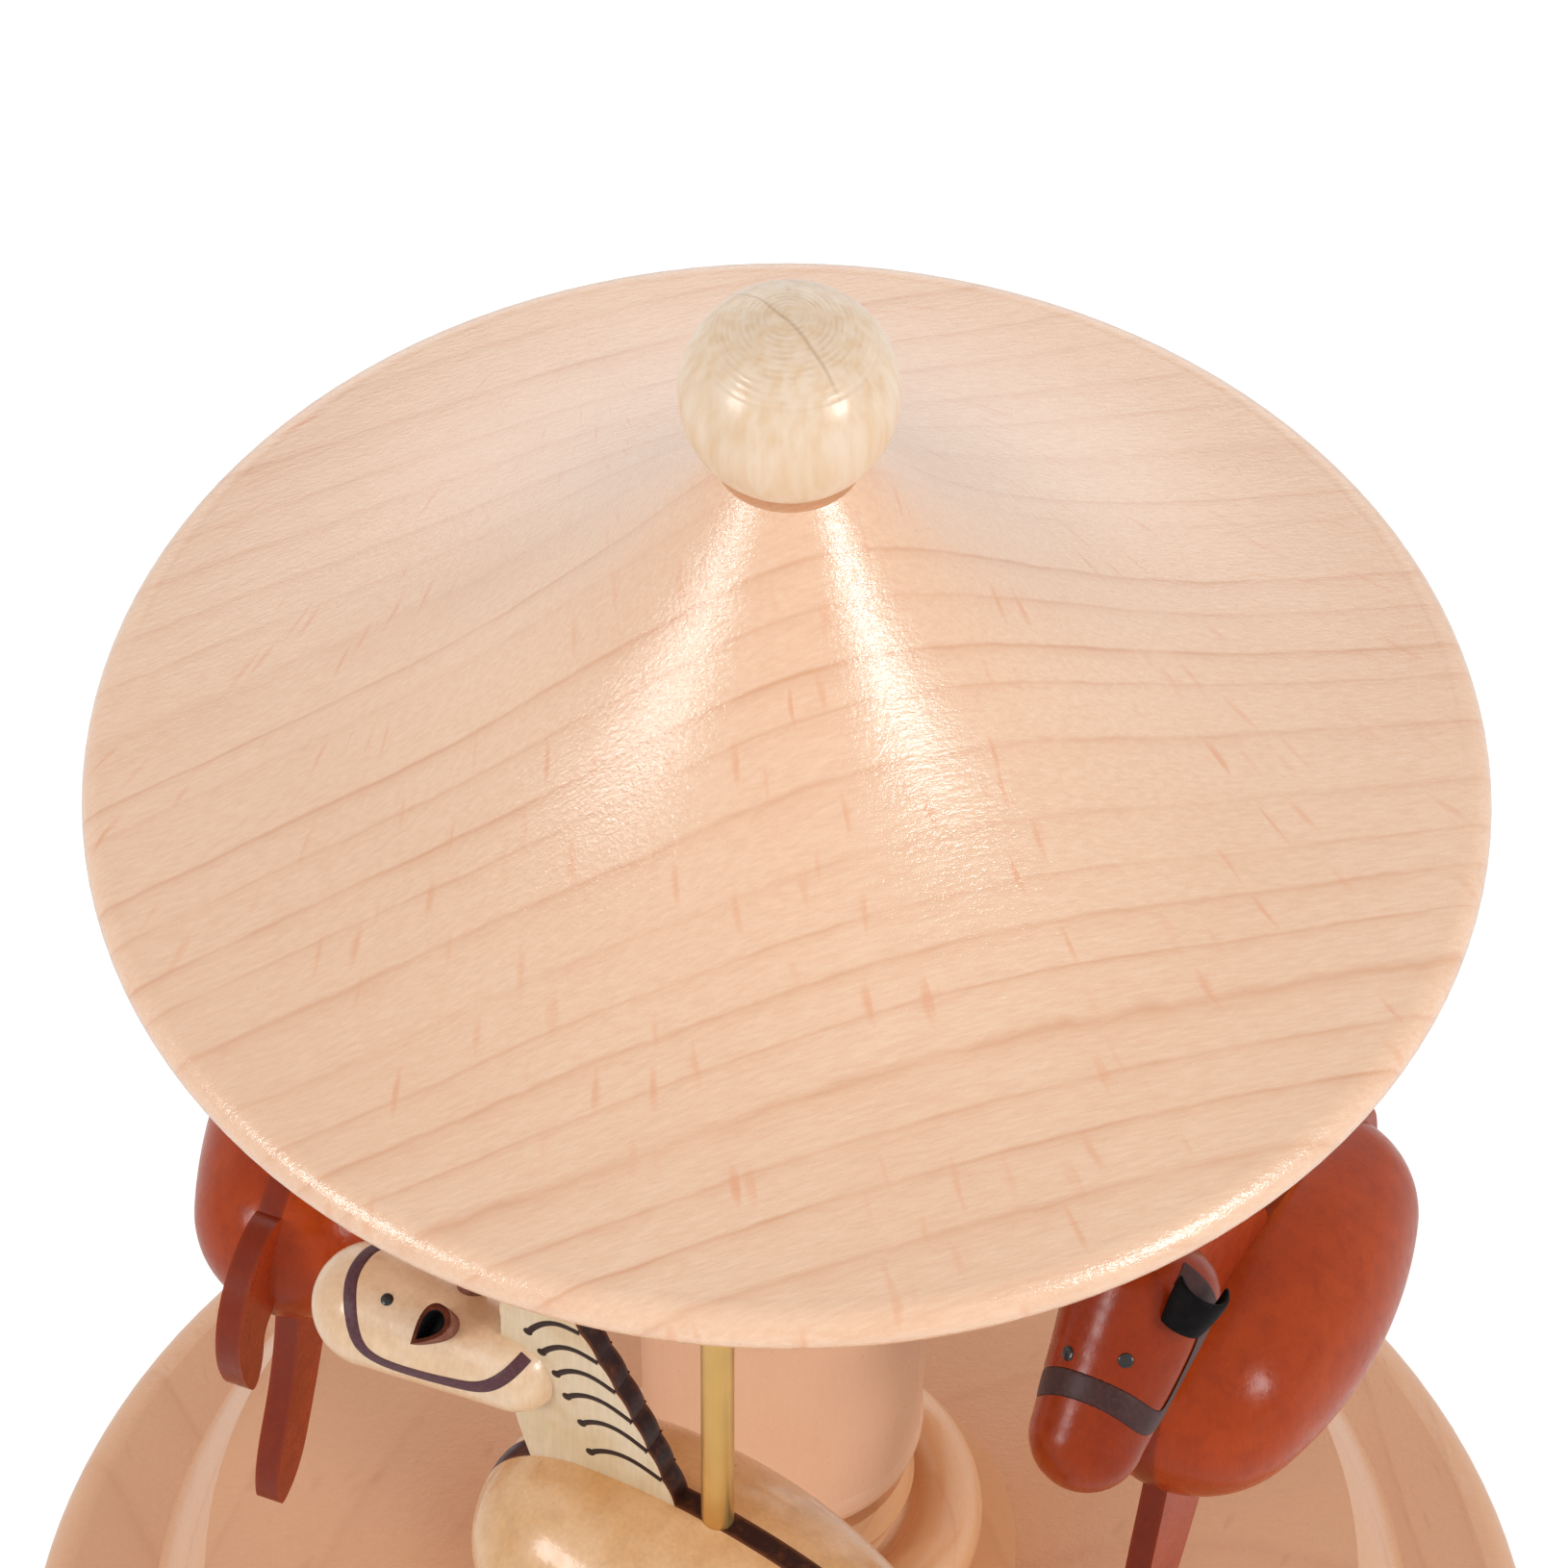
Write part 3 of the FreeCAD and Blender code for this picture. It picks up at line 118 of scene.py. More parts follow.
# The studio: azimuth, elevation, size in metres and share of power of each lamp, and the fitted camera.
LAMP_TARGET = (0.0, 0.0, 0.13)
SIDE_LAMPS = {"left": (-60.0, 21.0, 0.26, 0.87), "right": (54.0, 18.0, 0.26, 1.14)}
BACK_LAMP = (180.0, 9.0, 1.0, 1.0)
FLOOR_REACH = 3.0
CAMERA_PLACE = (0.0, -0.4811, 0.7091)
CAMERA_PITCH_DEG, CAMERA_YAW_DEG, CAMERA_ROLL_DEG = 49.44, -0.025, 0.36
CAMERA_SENSOR_MM, CAMERA_LENS_MM = 36.0, 227.9
CAMERA_CLIP_START = 0.05


def linear(hex_colour):
    """An sRGB hex value as linear red, green, blue and alpha."""
    channels = []
    for start in (1, 3, 5):
        value = int(hex_colour[start:start + 2], 16) / 255
        channels.append(value / 12.92 if value <= 0.04045 else ((value + 0.055) / 1.055) ** 2.4)
    return (*channels, 1.0)


def add(tree, kind, inputs=None, stops=None, **settings):
    """Adds a node to a tree with its settings, links or fills its inputs, and gives it back."""
    made = tree.nodes.new(kind)
    for name, value in settings.items():
        setattr(made, name, value)
    for key, value in (inputs or {}).items():
        if isinstance(value, bpy.types.NodeSocket):
            tree.links.new(value, made.inputs[key])
        else:
            made.inputs[key].default_value = value
    if stops:
        elements = made.color_ramp.elements
        while len(elements) < len(stops):
            elements.new(0.5)
        for element, (position, level) in zip(elements, stops):
            element.position = position
            element.color = (level, level, level, 1.0)
    return made


def new_material(name, turn=(0.0, 0.0, 0.0), shift=(0.0, 0.0, 0.0)):
    """A material, its empty node tree, and object coordinates in millimetres, turned and shifted."""
    material = bpy.data.materials.new(name)
    material.use_nodes = True
    tree = material.node_tree
    tree.nodes.clear()
    where = add(tree, "ShaderNodeTexCoord").outputs["Object"]
    inputs = {"Vector": where, "Scale": (1 / MM, 1 / MM, 1 / MM), "Rotation": turn, "Location": shift}
    return material, tree, add(tree, "ShaderNodeMapping", inputs).outputs["Vector"]


def finish_surface(tree, colour, roughness, height=None, relief=0.05, **fixed):
    """The shader and output of a material: colour, roughness and height from its nodes, the rest fixed."""
    shader = add(tree, "ShaderNodeBsdfPrincipled", {"Base Color": colour, "Roughness": roughness})
    for name, value in fixed.items():
        shader.inputs[name.replace("_", " ")].default_value = value
    if height is not None:
        bump = add(tree, "ShaderNodeBump", {"Height": height, "Strength": 1.0, "Distance": relief * MM})
        tree.links.new(bump.outputs["Normal"], shader.inputs["Normal"])
        if fixed.get("Coat_Weight"):
            tree.links.new(bump.outputs["Normal"], shader.inputs["Coat Normal"])
    add(tree, "ShaderNodeOutputMaterial", {"Surface": shader.outputs["BSDF"]})


def streaks(tree, where, sizes, detail, **settings):
    """Noise drawn out to a real size in millimetres along each axis: fibres, pores or cutting marks."""
    shrink = tuple(1 / size for size in sizes)
    drawn = add(tree, "ShaderNodeVectorMath", {0: where, 1: shrink}, operation="MULTIPLY").outputs["Vector"]
    inputs = {"Vector": drawn, "Scale": 1.0, "Detail": detail, **settings}
    return add(tree, "ShaderNodeTexNoise", inputs).outputs[0]


def patches(tree, where, size, detail, span, levels, **settings):
    """Noise of a real size in millimetres, with a span of its values spread between two levels."""
    inputs = {"Vector": where, "Scale": 1 / size, "Detail": detail, **settings}
    noise = add(tree, "ShaderNodeTexNoise", inputs).outputs[0]
    inputs = {"Value": noise, "From Min": span[0], "From Max": span[1], "To Min": levels[0],
              "To Max": levels[1]}
    return add(tree, "ShaderNodeMapRange", inputs).outputs[0]


def shaded(tree, colour, pattern, span, tones):
    """A colour that a pattern darkens and lightens: the span of its values, and the tone at either end."""
    inputs = {"Value": pattern, "From Min": span[0], "From Max": span[1], "To Min": tones[0],
              "To Max": tones[1]}
    tone = add(tree, "ShaderNodeMapRange", inputs).outputs[0]
    return add(tree, "ShaderNodeHueSaturation", {"Color": colour, "Value": tone}).outputs[0]


def beech(name, wood, line, fleck, turn_deg, ring_gap, curve_r, lean, shift=(0.0, 0.0, 0.0),
          ray_centre=(0.0, 2000.0), fleck_size=(1.4, 6.0), line_share=0.8, fleck_share=0.5, coat=0.5,
          relief=0.035, tone_span=0.3, coat_ior=1.5):
    """Turned beech under clear lacquer.

    The eye gets growth lines with one soft and one sharp edge, short ray flecks across them, and fine fibres
    along them that darken the wood a little and break up the lacquer's highlights.
    """
    roughness = 0.34
    turn = tuple(math.radians(angle) for angle in turn_deg)
    material, tree, grain = new_material(name, turn, shift)
    axes = add(tree, "ShaderNodeSeparateXYZ", {"Vector": grain})
    along = axes.outputs["X"]
    across = axes.outputs["Y"]
    upward = axes.outputs["Z"]

    # The growth rings: a gentle curve, a lean into the wood, the slow waver that a trunk has (3 mm over
    # 40 mm), a ripple of 0.6 mm over 4 mm, and years of different width.
    bend = add(tree, "ShaderNodeMath", {0: along, 1: along}, operation="MULTIPLY").outputs[0]
    bent = add(tree, "ShaderNodeMath", {0: bend, 1: 0.5 / curve_r, 2: across},
               operation="MULTIPLY_ADD").outputs[0]
    leaning = add(tree, "ShaderNodeMath", {0: upward, 1: lean, 2: bent}, operation="MULTIPLY_ADD").outputs[0]
    waver = add(tree, "ShaderNodeTexNoise", {"Vector": grain, "Scale": 1 / 40, "Detail": 1.0}).outputs[0]
    wavered = add(tree, "ShaderNodeMath", {0: waver, 1: 3.0, 2: leaning}, operation="MULTIPLY_ADD").outputs[0]
    ripple = add(tree, "ShaderNodeTexNoise", {"Vector": grain, "Scale": 1 / 4, "Detail": 4.0}).outputs[0]
    rippled = add(tree, "ShaderNodeMath", {0: ripple, 1: 0.6, 2: wavered},
                  operation="MULTIPLY_ADD").outputs[0]
    years = add(tree, "ShaderNodeTexNoise", {"W": wavered, "Scale": 1 / 11, "Detail": 1.0},
                noise_dimensions="1D")
    uneven = add(tree, "ShaderNodeMath", {0: years.outputs[0], 1: 8.0, 2: rippled}, operation="MULTIPLY_ADD")
    ring = add(tree, "ShaderNodeMath", {0: uneven.outputs[0], 1: 1 / ring_gap},
               operation="MULTIPLY").outputs[0]
    part = add(tree, "ShaderNodeMath", {0: ring}, operation="FRACT").outputs[0]
    year = add(tree, "ShaderNodeMath", {0: ring}, operation="FLOOR").outputs[0]
    year_stops = [(0.0, 0.35), (0.035, 0.02), (0.45, 0.0), (0.7, 0.12), (0.88, 0.42), (0.95, 1.0),
                  (1.0, 0.35)]
    profile = add(tree, "ShaderNodeValToRGB", {"Fac": part}, stops=year_stops)
    strong_year = add(tree, "ShaderNodeTexWhiteNoise", {"W": year}, noise_dimensions="1D").outputs["Value"]
    year_level = add(tree, "ShaderNodeMapRange", {"Value": strong_year, "To Min": 0.35,
                                                  "To Max": 1.0}).outputs[0]
    patch = patches(tree, grain, 9.0, 3.0, (0.35, 0.7), (0.45, 1.15))
    lined = add(tree, "ShaderNodeMath", {0: profile.outputs["Color"], 1: year_level},
                operation="MULTIPLY").outputs[0]
    lines = add(tree, "ShaderNodeMath", {0: lined, 1: patch}, operation="MULTIPLY").outputs[0]
    line_level = add(tree, "ShaderNodeMath", {0: lines, 1: line_share}, operation="MULTIPLY").outputs[0]

    # Ray flecks fan out from one place: each lies along the line to it, in a cell of fleck_size millimetres.
    aside = add(tree, "ShaderNodeMath", {0: along, 1: ray_centre[0]}, operation="SUBTRACT").outputs[0]
    ahead = add(tree, "ShaderNodeMath", {0: ray_centre[1], 1: across}, operation="SUBTRACT").outputs[0]
    angle = add(tree, "ShaderNodeMath", {0: aside, 1: ahead}, operation="ARCTAN2").outputs[0]
    ray = add(tree, "ShaderNodeCombineXYZ", {"X": aside, "Y": ahead}).outputs[0]
    reach = add(tree, "ShaderNodeVectorMath", {0: ray}, operation="LENGTH").outputs["Value"]
    typical = math.hypot(*ray_centre)
    sideways = add(tree, "ShaderNodeMath", {0: angle, 1: typical / fleck_size[0]},
                   operation="MULTIPLY").outputs[0]
    outward = add(tree, "ShaderNodeMath", {0: reach, 1: 1 / fleck_size[1]}, operation="MULTIPLY").outputs[0]
    deep = add(tree, "ShaderNodeMath", {0: upward, 1: 1 / 5.0}, operation="MULTIPLY").outputs[0]
    fan = add(tree, "ShaderNodeCombineXYZ", {"X": sideways, "Y": outward, "Z": deep}).outputs[0]
    smear = add(tree, "ShaderNodeTexNoise", {"Vector": fan, "Scale": 1.3, "Detail": 1.0}).outputs["Color"]
    fan_bent = add(tree, "ShaderNodeVectorMath", {0: smear, 1: (0.9, 0.4, 0.3), 2: fan},
                   operation="MULTIPLY_ADD").outputs["Vector"]
    cells = add(tree, "ShaderNodeTexVoronoi", {"Vector": fan_bent, "Scale": 1.0, "Randomness": 1.0})
    lens = add(tree, "ShaderNodeMapRange", {"Value": cells.outputs["Distance"], "From Min": 0.34,
                                            "From Max": 0.04, "To Min": 0.0, "To Max": 1.0},
               interpolation_type="SMOOTHSTEP").outputs[0]
    pick = add(tree, "ShaderNodeSeparateColor", {"Color": cells.outputs["Color"]}).outputs["Red"]
    kept = add(tree, "ShaderNodeMapRange", {"Value": pick, "From Min": 0.4, "From Max": 1.0}).outputs[0]
    flecks = add(tree, "ShaderNodeMath", {0: lens, 1: kept}, operation="MULTIPLY").outputs[0]
    fleck_level = add(tree, "ShaderNodeMath", {0: flecks, 1: fleck_share}, operation="MULTIPLY").outputs[0]

    # Fibres 0.3 mm wide and 2.2 mm long, along the growth lines, and pores 0.35 to 0.45 mm across.
    fibres = streaks(tree, grain, (2.2, 0.3, 0.5), 3.0, Roughness=0.65)
    pores = streaks(tree, grain, (0.45, 0.35, 0.35), 3.0, Roughness=0.7)

    # A blush that differs slowly from place to place.
    blush = patches(tree, grain, 38.0, 2.0, (0.35, 0.65), (0.0, 0.22))
    ground = add(tree, "ShaderNodeMix", {0: blush, 6: linear(wood), 7: linear(line)},
                 data_type="RGBA").outputs[2]
    ringed = add(tree, "ShaderNodeMix", {0: line_level, 6: ground, 7: linear(line)}, data_type="RGBA",
                 clamp_factor=True).outputs[2]
    flecked = add(tree, "ShaderNodeMix", {0: fleck_level, 6: ringed, 7: linear(fleck)}, data_type="RGBA",
                  clamp_factor=True).outputs[2]
    tone = add(tree, "ShaderNodeMapRange", {"Value": fibres, "From Min": 0.68, "From Max": 0.32,
                                            "To Max": tone_span}).outputs[0]
    colour = add(tree, "ShaderNodeMix", {0: tone, 6: flecked, 7: linear(line)}, data_type="RGBA").outputs[2]
    rough = add(tree, "ShaderNodeMapRange", {"Value": pores, "From Min": 0.3, "From Max": 0.7,
                                             "To Min": roughness - 0.08,
                                             "To Max": roughness + 0.08}).outputs[0]
    texture = add(tree, "ShaderNodeMath", {0: fibres, 1: 0.8, 2: pores}, operation="MULTIPLY_ADD").outputs[0]
    finish_surface(tree, colour, rough, texture, relief, Coat_Weight=coat, Coat_Roughness=0.12,
                   Coat_IOR=coat_ior, IOR=1.5)
    return material


def dress(node, material):
    """Gives every material slot of a CAD node the same material."""
    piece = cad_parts[node]
    if not piece.material_slots:
        piece.data.materials.append(material)
    for slot in piece.material_slots:
        slot.material = material


def horse_place(number):
    """The frame of one horse: x towards its nose, y to its left, z up from its back, at the pole."""
    low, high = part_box(f"horse_{number}_pole")
    pole = (low + high) / 2
    heading = math.atan2(pole.y, pole.x) - math.radians(90.0 + TURN_IN_DEG[number])
    turn = Matrix.Rotation(heading, 4, "Z")
    ahead = POLE_AHEAD[colour_of(number)] * MM
    origin = Vector((pole.x - ahead * math.cos(heading), pole.y - ahead * math.sin(heading),
                     HORSE_BACK_Z * MM))
    return Matrix.Translation(origin) @ turn


def colour_of(number):
    return "pale" if number in PALE_HORSES else "brown"


def horse_mapping(number):
    """Turn and shift for a Mapping node that puts a horse's own frame, in millimetres, under a pattern."""
    place = horse_place(number)
    heading = place.to_euler().z
    shift = -(place.to_3x3().inverted() @ place.translation) / MM
    return {"turn": (0.0, 0.0, -heading), "shift": tuple(shift)}


def stained_birch(name, number, colours, edge_colours, rough, coat, ior):
    """Birch stained and varnished, on one horse.

    The eye gets a blotchy stain, faint upright fibres and a gloss. On the sawn plate the narrow faces are
    dark: scorched by the cut on the pale horses, and soaked with stain on the brown ones. A lighter strip
    along their borders with the broad faces is painted highlight, as a rounded edge would catch.
    """
    material, tree, frame_mm = new_material(name, **horse_mapping(number))
    axes = add(tree, "ShaderNodeSeparateXYZ", {"Vector": frame_mm})
    light, middle, deep = colours
    blotches = patches(tree, frame_mm, 7.0, 4.0, (0.36, 0.64), (0.0, 1.0), Roughness=0.55)
    mottle = add(tree, "ShaderNodeTexNoise", {"Vector": frame_mm, "Scale": 1 / 1.6, "Detail": 3.0}).outputs[0]
    mottles = add(tree, "ShaderNodeMapRange", {"Value": mottle, "From Min": 0.45, "From Max": 0.75,
                                               "To Max": 0.45}).outputs[0]
    fibres = streaks(tree, frame_mm, (0.35, 0.35, 4.0), 2.0)
    ground = add(tree, "ShaderNodeMix", {0: blotches, 6: linear(light), 7: linear(middle)},
                 data_type="RGBA").outputs[2]
    mottled = add(tree, "ShaderNodeMix", {0: mottles, 6: ground, 7: linear(deep)},
                  data_type="RGBA").outputs[2]
    colour = shaded(tree, mottled, fibres, (0.3, 0.7), (0.94, 1.05))
    rough_noise = add(tree, "ShaderNodeTexNoise", {"Vector": frame_mm, "Scale": 1 / 0.9,
                                                   "Detail": 3.0}).outputs[0]
    roughness = add(tree, "ShaderNodeMapRange", {"Value": rough_noise, "From Min": 0.3, "From Max": 0.7,
                                                 "To Min": rough - 0.07, "To Max": rough + 0.07}).outputs[0]
    # The narrow faces: dark char or stain with lighter patches at random, and a painted highlight in the
    # lighter tone along their borders with the broad faces, where a rounded edge would catch the light.
    if edge_colours:
        side = add(tree, "ShaderNodeMath", {0: axes.outputs["Y"]}, operation="ABSOLUTE").outputs[0]
        uneven = add(tree, "ShaderNodeMath", {0: mottle, 1: 0.16, 2: side},
                     operation="MULTIPLY_ADD").outputs[0]
        edge = add(tree, "ShaderNodeMapRange", {"Value": side, "From Min": PLATE_HALF - 0.015,
                                                "From Max": PLATE_HALF - 0.045}).outputs[0]
        painted_highlight_reach = add(tree, "ShaderNodeMapRange", {"Value": uneven, "From Min": PLATE_HALF - 0.3,
                                                "From Max": PLATE_HALF + 0.02}).outputs[0]
        burnt, glow = edge_colours
        chars = patches(tree, frame_mm, 1.3, 4.0, (0.5, 0.8), (0.0, 0.6), Roughness=0.65)
        inner = add(tree, "ShaderNodeMix", {0: chars, 6: linear(burnt), 7: linear(glow)},
                    data_type="RGBA").outputs[2]
        # The painted edge highlight: the lighter tone over the outer 0.3 mm of each narrow face, next to the
        # broad faces.
        painted_edge_highlight = add(tree, "ShaderNodeMath", {0: painted_highlight_reach, 1: 0.7}, operation="MULTIPLY").outputs[0]
        narrow = add(tree, "ShaderNodeMix", {0: painted_edge_highlight, 6: inner, 7: linear(glow)}, data_type="RGBA").outputs[2]
        colour = add(tree, "ShaderNodeMix", {0: edge, 6: colour, 7: narrow}, data_type="RGBA").outputs[2]
    height = add(tree, "ShaderNodeMath", {0: rough_noise, 1: 1.5, 2: fibres},
                 operation="MULTIPLY_ADD").outputs[0]
    finish_surface(tree, colour, roughness, height, 0.012, Coat_Weight=coat, Coat_Roughness=0.1, IOR=ior)
    return material


def stain_paint(name, hex_colour, rough=0.4, coat=0.0):
    """Thick dark paint laid with a fine brush: slightly ridged, with a shine that differs in places."""
    material, tree, where = new_material(name)
    streak = add(tree, "ShaderNodeTexNoise", {"Vector": where, "Scale": 1 / 0.35, "Detail": 3.0}).outputs[0]
    colour = shaded(tree, linear(hex_colour), streak, (0.3, 0.7), (0.8, 1.25))
    roughness = add(tree, "ShaderNodeMapRange", {"Value": streak, "To Min": rough - 0.05,
                                                 "To Max": rough + 0.1}).outputs[0]
    finish_surface(tree, colour, roughness, streak, 0.03, Coat_Weight=coat, Coat_Roughness=0.25, IOR=1.3)
    return material


def leather(name, hex_colour, worn_hex, rough):
    """Thin dyed leather: a pebbled grain 0.25 mm across, worn paler on its high spots."""
    material, tree, where = new_material(name)
    pebbles = add(tree, "ShaderNodeTexVoronoi", {"Vector": where, "Scale": 1 / 0.25},
                  feature="DISTANCE_TO_EDGE")
    wear = add(tree, "ShaderNodeTexNoise", {"Vector": where, "Scale": 1 / 0.8, "Detail": 3.0}).outputs[0]
    worn = add(tree, "ShaderNodeMapRange", {"Value": wear, "From Min": 0.45, "From Max": 0.8,
                                            "To Max": 0.7}).outputs[0]
    colour = add(tree, "ShaderNodeMix", {0: worn, 6: linear(hex_colour), 7: linear(worn_hex)},
                 data_type="RGBA").outputs[2]
    roughness = add(tree, "ShaderNodeMapRange", {"Value": wear, "To Min": rough - 0.08,
                                                 "To Max": rough + 0.12}).outputs[0]
    finish_surface(tree, colour, roughness, pebbles.outputs["Distance"], 0.04, IOR=1.15)
    return material


def metal(name, hex_colour, rough, streak_size=(0.08, 0.08, 4.0), spot=0.06, relief=0.004):
    """Bare metal: machining streaks of a size in millimetres, and a roughness that differs in patches."""
    material, tree, where = new_material(name)
    marks = streaks(tree, where, streak_size, 2.0)
    dull = add(tree, "ShaderNodeTexNoise", {"Vector": where, "Scale": 1 / 5, "Detail": 4.0}).outputs[0]
    colour = shaded(tree, linear(hex_colour), dull, (0.3, 0.7), (0.9, 1.04))
    mixed = add(tree, "ShaderNodeMath", {0: marks, 1: dull}, operation="ADD").outputs[0]
    roughness = add(tree, "ShaderNodeMapRange", {"Value": mixed, "From Min": 0.7, "From Max": 1.3,
                                                 "To Min": rough - spot, "To Max": rough + spot}).outputs[0]
    finish_surface(tree, colour, roughness, marks, relief, Metallic=1.0)
    return material


def felt(name, hex_colour):
    """Pressed wool felt: matt, with a tangle of fibres about 0.1 mm thick, drawn 0.3 mm so that it shows."""
    material, tree, where = new_material(name)
    tangle = add(tree, "ShaderNodeTexNoise", {"Vector": where, "Scale": 1 / 0.3, "Detail": 4.0,
                                              "Distortion": 2.0}).outputs[0]
    colour = shaded(tree, linear(hex_colour), tangle, (0.3, 0.7), (0.75, 1.2))
    finish_surface(tree, colour, 0.95, tangle, 0.15, Sheen_Weight=0.4, Sheen_Roughness=0.6)
    return material


def moulded_nylon(name, hex_colour):
    """Natural nylon: milky, slightly translucent, with a fine moulded texture."""
    material, tree, where = new_material(name)
    grit = add(tree, "ShaderNodeTexNoise", {"Vector": where, "Scale": 1 / 0.2, "Detail": 2.0}).outputs[0]
    roughness = add(tree, "ShaderNodeMapRange", {"Value": grit, "To Min": 0.38, "To Max": 0.55}).outputs[0]
    colour = shaded(tree, linear(hex_colour), grit, (0.0, 1.0), (0.95, 1.03))
    finish_surface(tree, colour, roughness, grit, 0.01, Subsurface_Weight=0.1, IOR=1.53)
    return material


def birch_plywood(name, wood, dark):
    """Birch plywood: long pale grain on its faces and 1 mm plies, dark and light in turn, on its edges."""
    material, tree, where = new_material(name)
    axes = add(tree, "ShaderNodeSeparateXYZ", {"Vector": where})
    grain = streaks(tree, where, (25.0, 1.6, 1.6), 4.0, Distortion=0.6)
    grains = add(tree, "ShaderNodeMapRange", {"Value": grain, "From Min": 0.4, "From Max": 0.7,
                                              "To Max": 0.6}).outputs[0]
    ply = add(tree, "ShaderNodeMath", {0: axes.outputs["Z"], 1: math.pi}, operation="MULTIPLY").outputs[0]
    plies = add(tree, "ShaderNodeMath", {0: ply}, operation="SINE").outputs[0]
    flat = add(tree, "ShaderNodeNewGeometry").outputs["True Normal"]
    upright = add(tree, "ShaderNodeSeparateXYZ", {"Vector": flat}).outputs["Z"]
    steep = add(tree, "ShaderNodeMath", {0: upright}, operation="ABSOLUTE").outputs[0]
    on_edge = add(tree, "ShaderNodeMath", {0: 1.0, 1: steep}, operation="SUBTRACT", use_clamp=True).outputs[0]
    banded = add(tree, "ShaderNodeMath", {0: plies, 1: on_edge}, operation="MULTIPLY").outputs[0]
    shade = add(tree, "ShaderNodeMath", {0: banded, 1: 0.5, 2: grains}, operation="MULTIPLY_ADD",
                use_clamp=True).outputs[0]
    colour = add(tree, "ShaderNodeMix", {0: shade, 6: linear(wood), 7: linear(dark)},
                 data_type="RGBA").outputs[2]
    roughness = add(tree, "ShaderNodeMapRange", {"Value": grain, "To Min": 0.5, "To Max": 0.7}).outputs[0]
    finish_surface(tree, colour, roughness, grain, 0.03)
    return material


def turned_ball_wood(name, wood, warm, mark, top_z):
    """A lacquered maple ball: turning marks round its top, upright grain below and one slanting vein."""
    material, tree, where = new_material(name)
    axes = add(tree, "ShaderNodeSeparateXYZ", {"Vector": where})
    flat = add(tree, "ShaderNodeCombineXYZ", {"X": axes.outputs["X"], "Y": axes.outputs["Y"]}).outputs[0]
    reach = add(tree, "ShaderNodeVectorMath", {0: flat}, operation="LENGTH").outputs["Value"]
    grain = streaks(tree, where, (0.9, 0.9, 9.0), 3.0)
    cloud = add(tree, "ShaderNodeTexNoise", {"Vector": where, "Scale": 1 / 6, "Detail": 2.0}).outputs[0]
    wobble = add(tree, "ShaderNodeMath", {0: cloud, 1: 0.8, 2: reach}, operation="MULTIPLY_ADD").outputs[0]

    # The cutting tool's marks, 0.42 mm apart round the top.
    mark_gap = 0.42
    marks = add(tree, "ShaderNodeMath", {0: wobble, 1: 2 * math.pi / mark_gap},
                operation="MULTIPLY").outputs[0]
    wave = add(tree, "ShaderNodeMath", {0: marks}, operation="SINE").outputs[0]
    near_top = add(tree, "ShaderNodeMapRange", {"Value": axes.outputs["Z"], "From Min": top_z - 4.2,
                                                "From Max": top_z - 1.2},
                   interpolation_type="SMOOTHSTEP").outputs[0]
    broken = patches(tree, where, 1.2, 2.0, (0.4, 0.65), (0.0, 1.0))
    cut_wave = add(tree, "ShaderNodeMath", {0: wave, 1: near_top}, operation="MULTIPLY").outputs[0]
    turned = add(tree, "ShaderNodeMath", {0: cut_wave, 1: broken}, operation="MULTIPLY").outputs[0]

    # The vein: a slanting sheet through the wood, from behind the top down towards the front right.
    sheet = add(tree, "ShaderNodeVectorMath", {0: where, 1: (0.78, 0.62, 0.0)},
                operation="DOT_PRODUCT").outputs["Value"]
    bent_sheet = add(tree, "ShaderNodeMath", {0: cloud, 1: 1.4, 2: sheet},
                     operation="MULTIPLY_ADD").outputs[0]
    apart = add(tree, "ShaderNodeMath", {0: bent_sheet, 1: 0.2}, operation="SUBTRACT").outputs[0]
    off_vein = add(tree, "ShaderNodeMath", {0: apart}, operation="ABSOLUTE").outputs[0]
    vein = add(tree, "ShaderNodeMapRange", {"Value": off_vein, "From Min": 0.22, "From Max": 0.05}).outputs[0]
    vein_level = add(tree, "ShaderNodeMath", {0: vein, 1: near_top}, operation="MULTIPLY").outputs[0]

    warmth = add(tree, "ShaderNodeMapRange", {"Value": grain, "From Min": 0.35, "From Max": 0.7}).outputs[0]
    ground = add(tree, "ShaderNodeMix", {0: warmth, 6: linear(wood), 7: linear(warm)},
                 data_type="RGBA").outputs[2]
    dark = add(tree, "ShaderNodeMath", {0: turned, 1: 0.22}, operation="MULTIPLY", use_clamp=True).outputs[0]
    dark_total = add(tree, "ShaderNodeMath", {0: vein_level, 1: 0.55, 2: dark}, operation="MULTIPLY_ADD",
                     use_clamp=True).outputs[0]
    colour = add(tree, "ShaderNodeMix", {0: dark_total, 6: ground, 7: linear(mark)},
                 data_type="RGBA").outputs[2]
    shoulder = add(tree, "ShaderNodeMapRange", {"Value": axes.outputs["Z"], "From Min": top_z - 3.25,
                                                "From Max": top_z - 3.05}).outputs[0]
    raised = add(tree, "ShaderNodeMath", {0: shoulder, 1: -1.5, 2: turned},
                 operation="MULTIPLY_ADD").outputs[0]
    height = add(tree, "ShaderNodeMath", {0: grain, 1: 0.8, 2: raised}, operation="MULTIPLY_ADD").outputs[0]
    roughness = add(tree, "ShaderNodeMapRange", {"Value": grain, "To Min": 0.26, "To Max": 0.42}).outputs[0]
    finish_surface(tree, colour, roughness, height, 0.02, Coat_Weight=0.3, Coat_Roughness=0.15, IOR=1.5)
    return material


